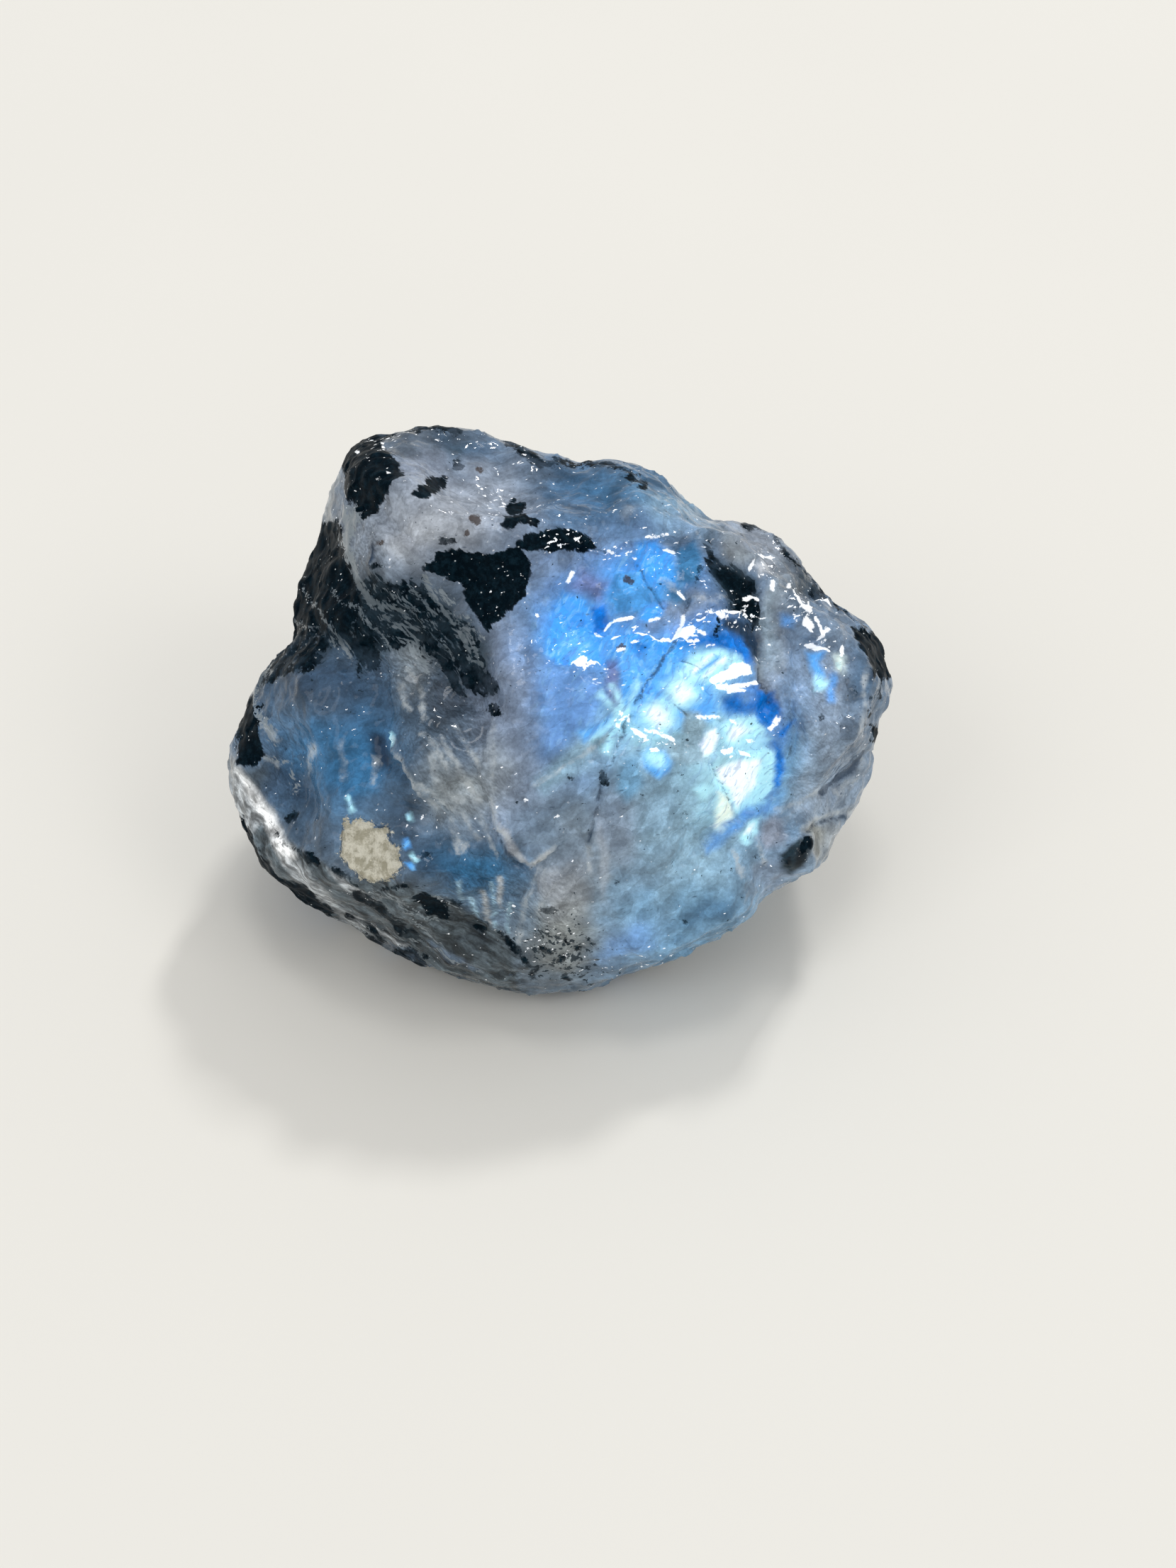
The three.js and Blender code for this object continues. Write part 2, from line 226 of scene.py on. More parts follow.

# Crisp patches of the flash, a sheen painted into the colour, of the feldspar round it and of
# the lower wall, later ones over earlier ones: tone, softness of the edge, edge.
FLASHES = [
    ("wall", 0.3, [
        (-20.9, -3), (-19.6, -4.6), (-18.6, -6.2), (-18, -7.6), (-17.2, -8.4), (-15.8, -9.4),
        (-13.8, -10.4), (-9.6, -10.9), (-7, -12), (-3.4, -14.2), (-2.6, -17.5), (-8, -17.6),
        (-15, -14.5), (-20.5, -9.5),
    ]),
    ("ash", 0.35, [
        (-20.9, -2.6), (-20.2, -4), (-19.4, -5.6), (-19, -7), (-19.8, -8), (-20.6, -6.6),
        (-21.2, -4),
    ]),
    # A painted highlight along the wall's upper edge, in the near-white glass tone.
    ("glass", 0.3, [
        (-20.6, -3.6), (-19.5, -5), (-18.5, -6.1), (-17.7, -7.5), (-16.9, -9.2), (-17.3, -9.6),
        (-18.3, -8), (-19.3, -6.5), (-20.3, -5),
    ]),
    ("ash", 0.25, [
        (-17.4, -9.4), (-16.7, -9.6), (-15.4, -10.8), (-14.3, -12.1), (-14.6, -12.6), (-15.6, -11.8),
        (-16.9, -10.5),
    ]),
    ("soot", 0.25, [(-13.8, -11.5), (-12.6, -11.9), (-11.8, -12.7), (-12.8, -12.4)]),
    ("soot", 0.25, [(-12.4, -13.2), (-11, -13.9), (-9.4, -15), (-10.8, -14.6)]),
    ("soot", 0.25, [(-9, -14.2), (-7.2, -15), (-5.8, -16.2), (-7.6, -15.6)]),
    ("soot", 0.25, [(-6.6, -13), (-5.2, -13.6), (-4.2, -14.8), (-5.4, -14.2)]),
    ("soot", 0.2, [(-15.6, -12.9), (-14, -14), (-12.2, -15.2), (-13.9, -14.5)]),
    ("ash", 0.3, [(-14.6, -12.2), (-13, -13), (-11.8, -14.2), (-12.6, -14.2), (-13.8, -13.2)]),
    ("gloom", 0.2, [(-11.6, -14.6), (-9.6, -15.3), (-7.6, -16.3), (-9.4, -16)]),
    ("ash", 0.15, [(-14.9, -9.9), (-13.2, -10.9), (-11.6, -12.3), (-12.2, -12.2), (-13.8, -11.2)]),
    ("ash", 0.15, [(-12.9, -13.1), (-11.4, -14), (-9.9, -15), (-10.4, -15), (-12, -14.1)]),
    ("gloom", 0.15, [(-8.4, -14.4), (-6.6, -15.2), (-5, -16.4), (-5.6, -16.3), (-7.4, -15.4)]),
    ("gloom", 0.4, [
        (-14, -13.6), (-11, -15.3), (-7.4, -16.7), (-3.4, -17.8), (-4, -18.4), (-9, -17),
        (-14, -14.2),
    ]),
    # This pale patch and the ash one after it paint highlight along the V-shaped ledge's lit side.
    ("pale", 0.15, [
        (-4, -6.8), (-3.7, -7.9), (-3.3, -9), (-2.4, -9.9), (-1.9, -9.9), (-2.6, -8.9), (-3.3, -7.6),
    ]),
    ("ash", 0.12, [(-2.2, -10.1), (-1.9, -9.7), (-0.7, -8.8), (-0.3, -8.9), (-1, -9.6)]),
    ("ash", 0.12, [(-5.1, -11.5), (-4.8, -11.6), (-4.4, -13.5), (-4.7, -13.3)]),
    ("ash", 0.12, [(-3.9, -10.7), (-3.6, -10.8), (-3.8, -12.7), (-4, -12.3)]),
    ("mist", 0.12, [(-5.8, -11.9), (-5.6, -11.9), (-5.2, -12.9), (-5.4, -13)]),
    ("mist", 0.12, [(-6.6, -10.8), (-6.5, -10.8), (-6.1, -12), (-6.3, -11.9)]),
    ("mist", 0.08, [(-4.4, -11.2), (-4.3, -11.2), (-4.1, -13.9), (-4.2, -13.8)]),
    ("mist", 0.08, [(-3.3, -12.2), (-3.1, -12.2), (-3.4, -14), (-3.5, -13.8)]),
    ("cornflower", 0.9, [
        (-1.5, 2), (0, 3), (2.8, 2.8), (3, 1.2), (2, -0.4), (0.4, -1.8), (-1, -2.6), (-0.9, 0),
    ]),
    ("azure", 0.35, [
        (-0.9, 3.9), (0, 3.2), (2.6, 3.3), (2.6, 4.6), (1.6, 7.2), (0.3, 7.6), (-0.4, 6),
    ]),
    ("sky", 0.5, [(-0.6, 3.8), (0.8, 3.7), (2.1, 3.8), (1.8, 4.8), (0.6, 5.1), (-0.1, 4.6)]),
    ("royal", 0.25, [(2, 5.1), (3, 5.5), (2.8, 7), (1.9, 6.7)]),
    ("plum", 0.6, [(0.6, 7.8), (2.6, 7.2), (3.1, 8.4), (1.4, 9.1)]),
    ("lagoon", 0.3, [(3.1, 6.3), (5, 6.4), (6.8, 7.2), (5.8, 8.7), (3.6, 9), (3.2, 7.6)]),
    ("azure", 0.3, [
        (4.6, 9.9), (5.2, 8.3), (6.3, 7.8), (7.4, 8.4), (7.1, 9.9), (6.2, 10.9), (4.9, 10.7),
    ]),
    ("steel", 0.3, [(7.4, 8.3), (8.7, 8.1), (9.1, 9.6), (8.6, 10.7), (7.3, 10.4)]),
    ("azure", 0.2, [(5, 5.9), (6.2, 6), (6.7, 6.9), (5.5, 7)]),
    ("azure", 0.3, [
        (3, 4.8), (4.8, 5.2), (7, 4.5), (8.8, 4.6), (7.6, 3.2), (6.5, 2), (6, 0.8), (5, 0.3), (4.1, 0.5),
        (4, 2), (3.7, 3.6),
    ]),
    ("sky", 0.2, [(3.4, 4.4), (4.2, 4.7), (4.5, 2.8), (4.3, 1.2), (4, 2.6)]),
    ("royal", 0.3, [(4.8, 4.4), (5.5, 4.2), (5.4, 3.4), (5, 3.3)]),
    ("sky", 0.4, [(4.2, 3.6), (5.6, 3.9), (6.4, 3.4), (5.8, 2), (5, 1.6), (4.4, 2.2)]),
    ("steel", 0.5, [(6.4, 8.2), (7.4, 8), (8.4, 7.2), (7.2, 6.9)]),
    ("plum", 0.3, [(2.9, 3.5), (3.7, 3.4), (4, 1), (3.8, 0.1), (3.2, 0.5), (2.9, 2)]),
    ("sky", 0.5, [
        (4.3, 1.5), (6, 3), (8.1, 4), (8.2, 2.6), (9.6, 1.8), (10.2, 0.2), (8.6, -1), (5.4, -1.2),
        (4.2, 0),
    ]),
    ("royal", 0.3, [
        (7.3, 4.3), (9, 4.8), (10.6, 5.2), (11.8, 4.6), (12.3, 3.2), (11.4, 3.3), (10.2, 4.2),
        (8.6, 4.3),
    ]),
    ("deep", 0.3, [
        (10.3, 6), (11.6, 5.8), (12.8, 5), (12.9, 3.6), (12.2, 3.4), (11.7, 4.7), (10.2, 5.3),
    ]),
    ("cyan", 0.25, [
        (7.5, 2.6), (8.4, 3.6), (10, 4.1), (11.4, 3.7), (11.9, 3), (11, 2.4), (9.9, 2), (8.6, 1.9),
        (7.8, 2.1),
    ]),
    ("hot", 0.12, [(8.2, 2.4), (9.4, 3.6), (9.7, 3.7), (8.6, 2.4)]),
    ("hot", 0.12, [(9, 2.3), (10.5, 3.6), (10.8, 3.5), (9.4, 2.3)]),
    ("sky", 0.12, [(8.6, 2.4), (9.9, 3.6), (10.1, 3.5), (8.9, 2.4)]),
    ("cyan", 0.5, [
        (6.6, 1.7), (7.2, 2.3), (8.2, 2.3), (8.9, 1.6), (8.9, 0.8), (8.1, 0.1), (7.3, 0.2),
        (6.7, 0.8),
    ]),
    ("cyan", 0.5, [
        (5.1, 0.1), (5.9, 0.7), (6.8, 0.7), (7.5, 0), (7.4, -0.9), (6.6, -1.4), (5.7, -1.2),
        (5.1, -0.6),
    ]),
    ("hot", 0.5, [(7.2, 1.4), (7.7, 1.9), (8.3, 1.5), (8.3, 1), (7.8, 0.6), (7.3, 0.9)]),
    ("hot", 0.5, [(5.7, 0), (6.3, 0.4), (6.9, 0), (6.9, -0.7), (6.3, -1), (5.8, -0.6)]),
    ("royal", 0.5, [(10.2, 1), (11.4, 1.4), (12.8, 1.8), (13, 0.2), (11.6, -0.2), (10.6, 0)]),
    ("cornflower", 0.5, [(11.2, 1.3), (12.4, 1.5), (12.7, 0.9), (11.8, 0.6)]),
    ("mist", 0.25, [(8.1, 0), (9, 0), (9.4, -0.8), (8.9, -2.5), (8.1, -2), (7.8, -0.8)]),
    ("cyan", 0.2, [
        (10.3, -0.8), (11.2, -0.3), (12.9, -0.2), (13.3, -1), (12.5, -1.8), (11.3, -2.2),
        (10.4, -2),
    ]),
    ("hot", 0.3, [(10.8, -1), (11.6, -0.7), (12.2, -1.1), (11.4, -1.8), (10.8, -1.8)]),
    ("hot", 0.1, [(9.9, -0.9), (9.3, -1.2), (9, -2.1), (9.2, -2.9), (9.8, -2.5), (10.1, -1.6)]),
    ("cyan", 0.15, [
        (9.7, -4.4), (10.4, -3.4), (11.8, -2.9), (13, -2.4), (13.7, -2.4), (13.75, -4.8), (13.1, -5.7),
        (11.5, -6.6), (10.8, -5.6), (10.1, -4.9),
    ]),
    ("hot", 0.22, [
        (10, -3.6), (10.6, -3.2), (11.8, -3), (12.6, -3), (13, -3.7), (12.7, -4.6), (12.2, -5.4),
        (11.5, -6.2), (11, -5.5), (10.6, -4.6), (10.1, -4),
    ]),
    ("straw", 0.25, [(10.1, -5.1), (11, -5.8), (11.1, -6.8), (10.4, -7.8), (9.9, -7.4)]),
    ("bar", 0.35, [
        (9.4, -9), (10.8, -7.9), (12, -6.9), (13.6, -6.2), (13.6, -5.7), (12, -6.3), (10.6, -7.3),
        (9.3, -8.5),
    ]),
    ("cyan", 0.15, [(11.5, -8), (12, -7.1), (12.9, -6.7), (12.8, -7.7), (12, -8.6)]),
    ("hot", 0.15, [(11.9, -7.8), (12.2, -7.2), (12.6, -7.1), (12.3, -7.8)]),
    ("lavender", 0.4, [(13.1, -6.9), (13.9, -6.4), (14.4, -8), (13.2, -9), (12.8, -8)]),
    ("royal", 0.2, [(12.6, 1.4), (13.7, 1.3), (14, -0.1), (13.2, -1.2), (12.6, -0.5)]),
    ("royal", 0.15, [(13.7, -1.4), (14.3, -0.9), (15, -0.4), (14.7, -1), (14, -1.7)]),
    ("royal", 0.18, [
        (13.6, -1.9), (14, -2.3), (14.2, -3.4), (14.05, -4.6), (13.7, -4.8), (13.75, -3),
    ]),
    ("sky", 0.25, [
        (5.2, -2.6), (5.8, -2.3), (6.8, -2.5), (7.1, -3.1), (6.9, -3.8), (6.4, -4.3), (5.8, -4),
        (5.4, -3.4),
    ]),
    ("cyan", 0.3, [(5.4, -2.7), (5.9, -2.4), (6.7, -2.6), (6.8, -3.2), (6.4, -3.7), (5.9, -3.5)]),
    ("shallow", 0.4, [(3.9, -3), (5, -2.8), (5.3, -4.6), (4.4, -5.7), (3.7, -5)]),
    ("haze", 0.6, [(-1.6, -4.4), (1.2, -1.7), (3.6, -0.6), (3.8, -1.6), (1.2, -3.9), (-1, -5)]),
    ("sky", 0.3, [(1.2, -1.3), (3.4, -0.3), (3.6, -1), (1.6, -1.9)]),
    ("cyan", 0.3, [(4.1, -0.5), (2.5, 1), (2.7, 1.2), (4.3, -0.2)]),
    ("cyan", 0.3, [(4.1, -0.3), (3.2, 1.9), (3.5, 2), (4.5, -0.2)]),
    ("cyan", 0.3, [(4.3, -0.3), (4.9, 2), (5.3, 1.9), (4.7, -0.4)]),
    ("cyan", 0.35, [(4, -0.7), (2.2, -1.9), (2, -1.6), (3.8, -0.3)]),
    ("cyan", 0.3, [(4.2, -0.7), (3.1, -2.7), (2.8, -2.5), (3.8, -0.5)]),
    ("mist", 0.3, [(6.9, -1.9), (8.3, -1.6), (9.2, -2.9), (8.2, -3.3), (7.1, -2.9)]),
    ("cyan", 0.3, [(8.4, -4.8), (9, -4.4), (9.7, -4.9), (9.1, -5.5)]),
    ("sky", 0.25, [(15.6, 3.7), (16.6, 3.7), (16.3, 2.9), (16.7, 2.2), (16.3, 1.9), (15.8, 2.7)]),
    ("bar", 0.25, [(17, 2.2), (17.5, 2.1), (17.4, 0.6), (16.9, 0.5)]),
    ("cyan", 0.15, [(16.2, 2.4), (16.9, 1.8), (16.7, 1.3), (16.4, 1.4), (16.1, 2)]),
    ("straw", 0.5, [(17.4, 3.5), (17.9, 3.5), (17.9, 2.4), (17.5, 2.4)]),
    ("bar", 0.3, [(14.1, 6.1), (14.7, 6), (14.6, 5.4), (14.1, 5.5)]),
    ("deep", 0.3, [(19.5, 3.4), (20, 3.2), (20, 2), (19.6, 2.1)]),
    ("cream", 0.3, [
        (15.4, -7.4), (16.6, -6.9), (17.1, -7.6), (16.8, -9), (16.3, -9.6), (16.3, -8.2),
        (15.9, -7.6),
    ]),
    ("murk", 0.18, [
        (13.9, -9.2), (14.4, -8.7), (15.2, -8.1), (15.8, -7.8), (16.2, -8.2), (16, -8.9), (15.5, -9.8),
        (14.7, -10.4), (14, -10.1),
    ]),
    ("soot", 0.3, [(14.9, -9.8), (15.2, -8.7), (15.9, -8.5), (15.8, -9.2), (15.3, -9.9)]),
    ("soot", 0.15, [(14.2, -9.7), (14.6, -9.2), (14.8, -9.5), (14.4, -10)]),
    # A soft white patch of painted highlight.
    ("milk", 0.4, [(12.3, 9.3), (13.2, 9.4), (13.4, 8.8), (12.6, 8.6)]),
    ("deep", 0.08, [(-12.1, 10.6), (-11.9, 10.7), (-11.8, 9.6), (-12.1, 9.4)]),
    ("steel", 0.5, [
        (-14.8, -1.6), (-12.8, -1.4), (-11.6, -3), (-11.8, -5), (-13.2, -5.4), (-14.6, -4.4),
    ]),
    ("deep", 0.3, [(-12.4, -1.2), (-11.4, -1.4), (-11.2, -3.6), (-11.9, -3.4)]),
    ("cyan", 0.1, [(-11.1, -1.3), (-10.8, -1.3), (-10.7, -2), (-11, -2.3)]),
    ("cyan", 0.1, [(-13.5, -5.3), (-13.3, -5.3), (-13.1, -6.2), (-13.3, -6.5)]),
    ("cyan", 0.1, [(-9.8, -6.5), (-9.5, -6.5), (-9.4, -7), (-9.7, -7)]),
    ("sky", 0.12, [(-10, -8.1), (-9.6, -8), (-9.5, -8.5), (-9.9, -8.7)]),
    ("cyan", 0.1, [(-9.7, -9.1), (-9.4, -8.9), (-9.1, -9.3), (-9.3, -9.5)]),
    ("sky", 0.12, [(-9.9, -9.6), (-9.5, -9.6), (-9.2, -10), (-9.5, -10.1)]),
]

# Solid black tourmaline: patch edges on the display face.
BLACK_PATCHES = [
    [
        (-8.8, 9.2), (-8, 10.1), (-6.8, 10.4), (-4.6, 10.1), (-2.4, 10.6), (-1.9, 9.2), (-2.2, 7.3),
        (-3.7, 6), (-4.6, 5.2), (-5.3, 6), (-6.1, 7.2), (-6.2, 8), (-7.2, 8.7),
    ],
    [
        (-13.9, 15.9), (-13, 17.2), (-12, 18), (-11.2, 17.3), (-11, 16.5), (-10.3, 15.9), (-10, 15),
        (-10.6, 14.6), (-11.1, 14), (-11.9, 13.2), (-12.3, 12.4), (-12.9, 12.3), (-13.4, 13.2),
        (-13.8, 14.6),
    ],
    [
        (-16.2, 11.9), (-14.1, 12.2), (-13.7, 10.5), (-13.2, 8.8), (-12.6, 6.6), (-13.2, 5.2),
        (-15.4, 5.2), (-19, 4.6), (-18.4, 7.5), (-17, 10.4),
    ],
    [
        (10, 9.3), (10.6, 9), (11.2, 8.6), (12, 8.2), (12.3, 7.3), (12.2, 6.3), (11.7, 6.2), (11.2, 7.1),
        (10.6, 7.9), (10, 8.6),
    ],
    [
        (-20.6, -3.2), (-20.4, -0.4), (-19.4, 1.2), (-18.8, 0.3), (-19.0, -1.2), (-18.8, -2.6),
        (-19.4, -3.4),
    ],
    [(-9.6, -11.6), (-8.4, -11.5), (-7.3, -12.1), (-6.9, -13.2), (-7.6, -13.2), (-8.7, -12.5)],
    [
        (-20.3, -6.6), (-19.6, -7.7), (-18.9, -9), (-17.6, -10.3), (-16, -11.3), (-14.6, -12.6),
        (-14.4, -13.4), (-16.4, -12.9), (-18.6, -11.2), (-20.4, -9),
    ],
    [
        (-2.7, 10.5), (-2.2, 11.3), (-0.4, 11.7), (1.1, 11.5), (1.9, 11), (2.3, 10.4), (1.6, 10.1),
        (0.4, 10.3), (-1, 10.3),
    ],
    [(15.3, -8.4), (15.6, -8), (16, -7.9), (16.1, -8.4), (15.8, -8.9), (15.4, -9.1)],
    [
        (18.5, 5.4), (19.4, 5.5), (20.5, 4.8), (21, 3.8), (21.3, 2.8), (21.1, 2.1), (20.2, 2.4),
        (19.8, 2.1), (19.7, 2.9), (19.5, 3.7), (19.1, 4.5), (18.7, 5),
    ],
    [(20, -0.7), (20.6, -1.2), (20.5, -2.2), (19.9, -1.9)],
    [(-9.4, 13.8), (-8.8, 14.5), (-8, 14.9), (-7.3, 14.9), (-7.2, 14.4), (-7.9, 13.9), (-8.6, 13.6)],
    [(-3.5, 13.3), (-3, 14), (-2.6, 13.6), (-2.2, 13.4), (-2.4, 12.8), (-3.2, 12.8)],
    [(-3.7, 11.9), (-3.5, 12.7), (-2.4, 12.6), (-1.3, 12.3), (-1.5, 11.8), (-2.6, 11.9), (-3, 11.6)],
]

# Broken, streaky tourmaline with feldspar showing through.
DARK_PATCHES = [
    [
        (-13, 8.6), (-10.5, 8.4), (-8.4, 7.6), (-7, 6.6), (-5.8, 5.2), (-4.8, 3.4), (-4, 1.6),
        (-4.5, 1), (-5.4, 1.7), (-6.8, 1.6), (-7.7, 2.8), (-9.2, 4.4), (-10.4, 4), (-11.6, 3.8),
        (-12.6, 2.8), (-13.6, 4.2), (-15.6, 4.8), (-17.8, 4.2), (-17, 6),
    ],
    [(-16.4, 2.6), (-14.4, 4.6), (-17.6, 4.6), (-19.4, 1.6)],
    [
        (9.3, 10.7), (9.7, 10.1), (10.5, 9.4), (11.4, 8.9), (12.3, 8.2), (12.6, 7.3), (12.7, 5.7),
        (12.1, 5.5), (11.3, 6.2), (10.8, 7.2), (10.2, 8), (9.6, 8.7), (9.3, 9.6),
    ],
]

# Tourmaline needles, bands and dots: path and half width.
BLACK_STROKES = [
    ([(-6.5, 15.8), (-6.4, 15.75)], 0.33),
    ([(-11.9, 9.2), (-11.3, 9.3)], 0.16),
    ([(-7.5, 10.8), (-6.7, 10.9)], 0.22),
    ([(-13.8, 17), (-12.4, 17.5), (-11, 17.6), (-8.6, 18.1), (-6.6, 17.9)], 0.32),
    ([(-3.6, 17.5), (-2.4, 16.5), (-1.2, 15.8)], 0.26),
    ([(-1.2, 15.8), (0.6, 15.8), (3.4, 15.6), (5.4, 14.4)], 0.13),
    ([(-12.2, 4.6), (-12, 3.2)], 0.45),
    ([(-5.1, 2.5), (-4.2, 1.8)], 0.42),
    ([(-4.3, 0.2), (-4.1, 0.1)], 0.36),
    ([(-17.2, -6.7), (-16.8, -6.5)], 0.3),
    ([(-16.3, -9.1), (-15.6, -9.6)], 0.26),
    ([(-18.5, -6.9), (-17.7, -8.2), (-16.6, -8.9)], 0.08),
    ([(-14.4, -10), (-13.5, -10.5), (-12.9, -11)], 0.15),
    ([(-11.2, -11.3), (-9.8, -11)], 0.14),
    ([(-12.9, -11.6), (-11, -13), (-9.2, -14.5)], 0.26),
    ([(-13.6, -13), (-12.2, -13.9), (-11.4, -14.7)], 0.2),
    ([(-10.4, -15.4), (-8.8, -15.9)], 0.34),
    ([(-3.9, -14.1), (-2.8, -15.1), (-2, -16)], 0.24),
    ([(-5.4, -13.8), (-4.9, -13.9)], 0.16),
    ([(-6.8, -12), (-6.4, -12.1)], 0.14),
    ([(-1.1, -12.5), (-0.5, -12.7)], 0.26),
    ([(-1.2, -15), (-0.7, -15.1)], 0.2),
    ([(-0.2, -15.9), (0.2, -15.7)], 0.18),
    ([(0.4, -14.8), (0.7, -14.9)], 0.13),
    ([(1.1, -15.3), (1.5, -15.2)], 0.16),
    ([(1.8, -14.5), (2.1, -14.7)], 0.12),
    ([(0.3, -17), (0.6, -17.2)], 0.2),
    ([(-1.9, -16.9), (-1.5, -16.4)], 0.2),
    ([(10, 5.9), (10, 4.7)], 0.14),
    ([(8.6, 8.2), (8.9, 9.1)], 0.14),
    ([(11.8, 12), (12.6, 11.7), (13.1, 11.4)], 0.24),
    ([
        (13.1, 11.4), (14.4, 10.2), (15.7, 8.9), (16.8, 7.5), (17.8, 6.5), (18.9, 6), (19.9, 5.1),
    ], 0.12),
    ([(16.2, 7.7), (16.7, 7.2)], 0.24),
    ([(18.7, 5.4), (19.4, 4.6)], 0.2),
    ([(20.5, 2.5), (20.4, 0.9)], 0.12),
    ([(19.8, 0.9), (19.8, 0.85)], 0.12),
    ([(19.6, 0.2), (19.6, 0.15)], 0.1),
    ([(19.9, -0.2), (19.8, -0.3)], 0.13),
    ([(19.5, -0.8), (19.5, -0.85)], 0.1),
    ([(16.7, -0.1), (16.7, -0.4)], 0.1),
    ([(18.8, 1.4), (18.8, 1.1)], 0.08),
    ([(2.7, -3.9), (2.8, -4.5)], 0.24),
    ([(0.65, -4.3), (0.8, -4.35)], 0.11),
    ([(5.2, -5.3), (5.25, -5.35)], 0.08),
    ([(7.9, -13.4), (7.95, -13.45)], 0.12),
    ([(12.6, -9.2), (12.8, -9.4)], 0.14),
    ([(11, -9.9), (11.15, -10.1)], 0.1),
    ([(-8.8, -9.2), (-8.3, -9.1)], 0.18),
    ([(3.5, -10.7), (3.6, -10.75)], 0.08),
    ([(8, -6.5), (8.05, -6.55)], 0.08),
]

# Pale veins of feldspar through the dark parts: path and half width.
VEINS = [
    ([(-13.2, 12.8), (-13.7, 10.8), (-13.4, 9.3), (-12.5, 7.8), (-12, 7.2)], 0.4),
    ([(-16.3, 7.9), (-15, 6.2), (-14.2, 5), (-13.4, 3.7)], 0.12),
    ([(-14.7, 7.9), (-13.9, 7.2), (-13.1, 6.5)], 0.1),
    ([(-12, 7.3), (-10.6, 6.5), (-9, 5.3)], 0.17),
    ([(-11.4, 6.2), (-10, 5.5), (-8.9, 4.4)], 0.1),
    ([(-11.8, 8.2), (-10.2, 7.4), (-8.6, 6.4), (-7.4, 5)], 0.08),
    ([(-10.8, 5), (-9.4, 4.4), (-8.4, 3.4)], 0.08),
    ([(-8.7, 8.7), (-7.2, 6.6), (-6.2, 4.6), (-5.6, 3.3)], 0.2),
    ([(-7.5, 7.9), (-6.3, 6.2), (-5, 4.9)], 0.12),
    ([(-17, 5.7), (-15.6, 5.4)], 0.12),
    ([(-12.9, 6.6), (-11.6, 5.4), (-10.8, 4.2)], 0.16),
    ([(-11, 7.6), (-9.4, 6.5), (-8, 5)], 0.1),
    ([(-10, 8), (-8.6, 7.2), (-7.4, 6)], 0.1),
    ([(-9.4, 3.9), (-8.4, 2.6)], 0.16),
    ([(-7.4, 4.2), (-6.4, 2.6)], 0.12),
    ([(-6.4, 5.6), (-5.6, 4.4), (-4.9, 3)], 0.12),
    ([(-14.4, 4.6), (-13.3, 3.2)], 0.14),
    ([(-18.4, 2.6), (-19.2, 1.2), (-18.8, -0.6), (-18, -2)], 0.17),
    ([(-18.7, -2.6), (-17.4, -3.5), (-16.7, -4.9)], 0.13),
    ([(-7.5, -13.4), (-9.5, -12.6), (-12, -11.6)], 0.12),
    ([(-6.2, -12.4), (-7.8, -11.5)], 0.09),
    ([(-10.6, -14.3), (-8, -15.2), (-5, -16.2)], 0.08),
    ([(-9.9, -13), (-8.4, -14.2), (-7.4, -14.6)], 0.1),
]

# Thin pale feathers in the feldspar, and pale scallop edges, which are painted highlight: path and half
# width.
FEATHERS = [
    # The first two paint highlight along the lit side of the V-shaped ledge.
    ([(-4.3, -0.4), (-4.2, -3.1), (-4.4, -5.6), (-4.1, -7.1), (-2.9, -8.7), (-2.3, -9.9)], 0.1),
    ([(-2.3, -9.9), (-1.4, -9.6), (-0.3, -8.7)], 0.14),
    ([(-1, -9.9), (-1.7, -10.8), (-2.3, -12.3), (-2.6, -14.7)], 0.1),
    ([(-0.6, -10.2), (-1, -11.6), (-1.4, -13)], 0.08),
    ([(-10.9, -1.6), (-10.7, -2.6), (-9.8, -3.7), (-8.9, -5.3), (-8, -6.2)], 0.13),
    ([(-8.3, -2.6), (-8, -3.8), (-7.4, -4.9), (-6.2, -5.7)], 0.16),
    ([(-8.9, -1.4), (-7.9, -2.2), (-7.2, -3.6)], 0.1),
    ([(-7.6, -1.8), (-6.6, -3.2), (-6.2, -4.6), (-5.4, -5.8)], 0.12),
    ([(-6.6, -1), (-5.6, -2.6), (-5.2, -4.2)], 0.1),
    ([(-9.4, -4.4), (-8.2, -4.9), (-6.9, -6)], 0.1),
    ([(-7.1, -6.9), (-6.2, -8.7)], 0.1),
    ([(-6.2, -6.4), (-5.5, -8.2)], 0.09),
    ([(-5.3, -6.6), (-4.8, -8.4), (-4, -9.4)], 0.08),
    ([(-15.7, -2), (-15.8, -4)], 0.1),
    ([(-13.9, -1.8), (-13.8, -4.2)], 0.13),
    ([(-12, -2.8), (-11.9, -4.6)], 0.1),
    ([(-8, -2.4), (-7.9, -3.7)], 0.1),
    ([(-7, -7.2), (-6.5, -8.9)], 0.09),
    ([(3.2, -1.6), (1.8, -2.6), (0.2, -3.6), (-1.6, -4.6)], 0.07),
    ([(15.6, -7.2), (17, -6.6), (18.2, -6.3), (19, -6)], 0.12),
    ([(17.8, -5.2), (18.8, -4.2), (19.5, -3.2)], 0.1),
    ([(14, -6.2), (15.4, -5.8), (16.4, -5)], 0.07),
    ([(19.4, 3), (19.4, 0.6), (19, -1.2)], 0.1),
    ([(1.8, -8.4), (1.9, -10.2)], 0.08),
    ([(8.2, 7.4), (9.4, 7.2), (10.4, 7.4)], 0.07),
    ([(6.4, 8.4), (7.6, 7.8)], 0.07),
    ([(-9.6, 2.6), (-8.8, 1.2), (-8.6, -0.4)], 0.12),
    ([(-10.2, 1.6), (-9.6, 0.2)], 0.1),
    ([(12.2, -7.6), (13.2, -9.8)], 0.08),
    ([(11.2, -8.8), (11.8, -10.6)], 0.07),
    ([(-18.9, -0.6), (-17.9, -1.8)], 0.08),
    ([(-19.3, -2.4), (-18, -3.4)], 0.08),
]
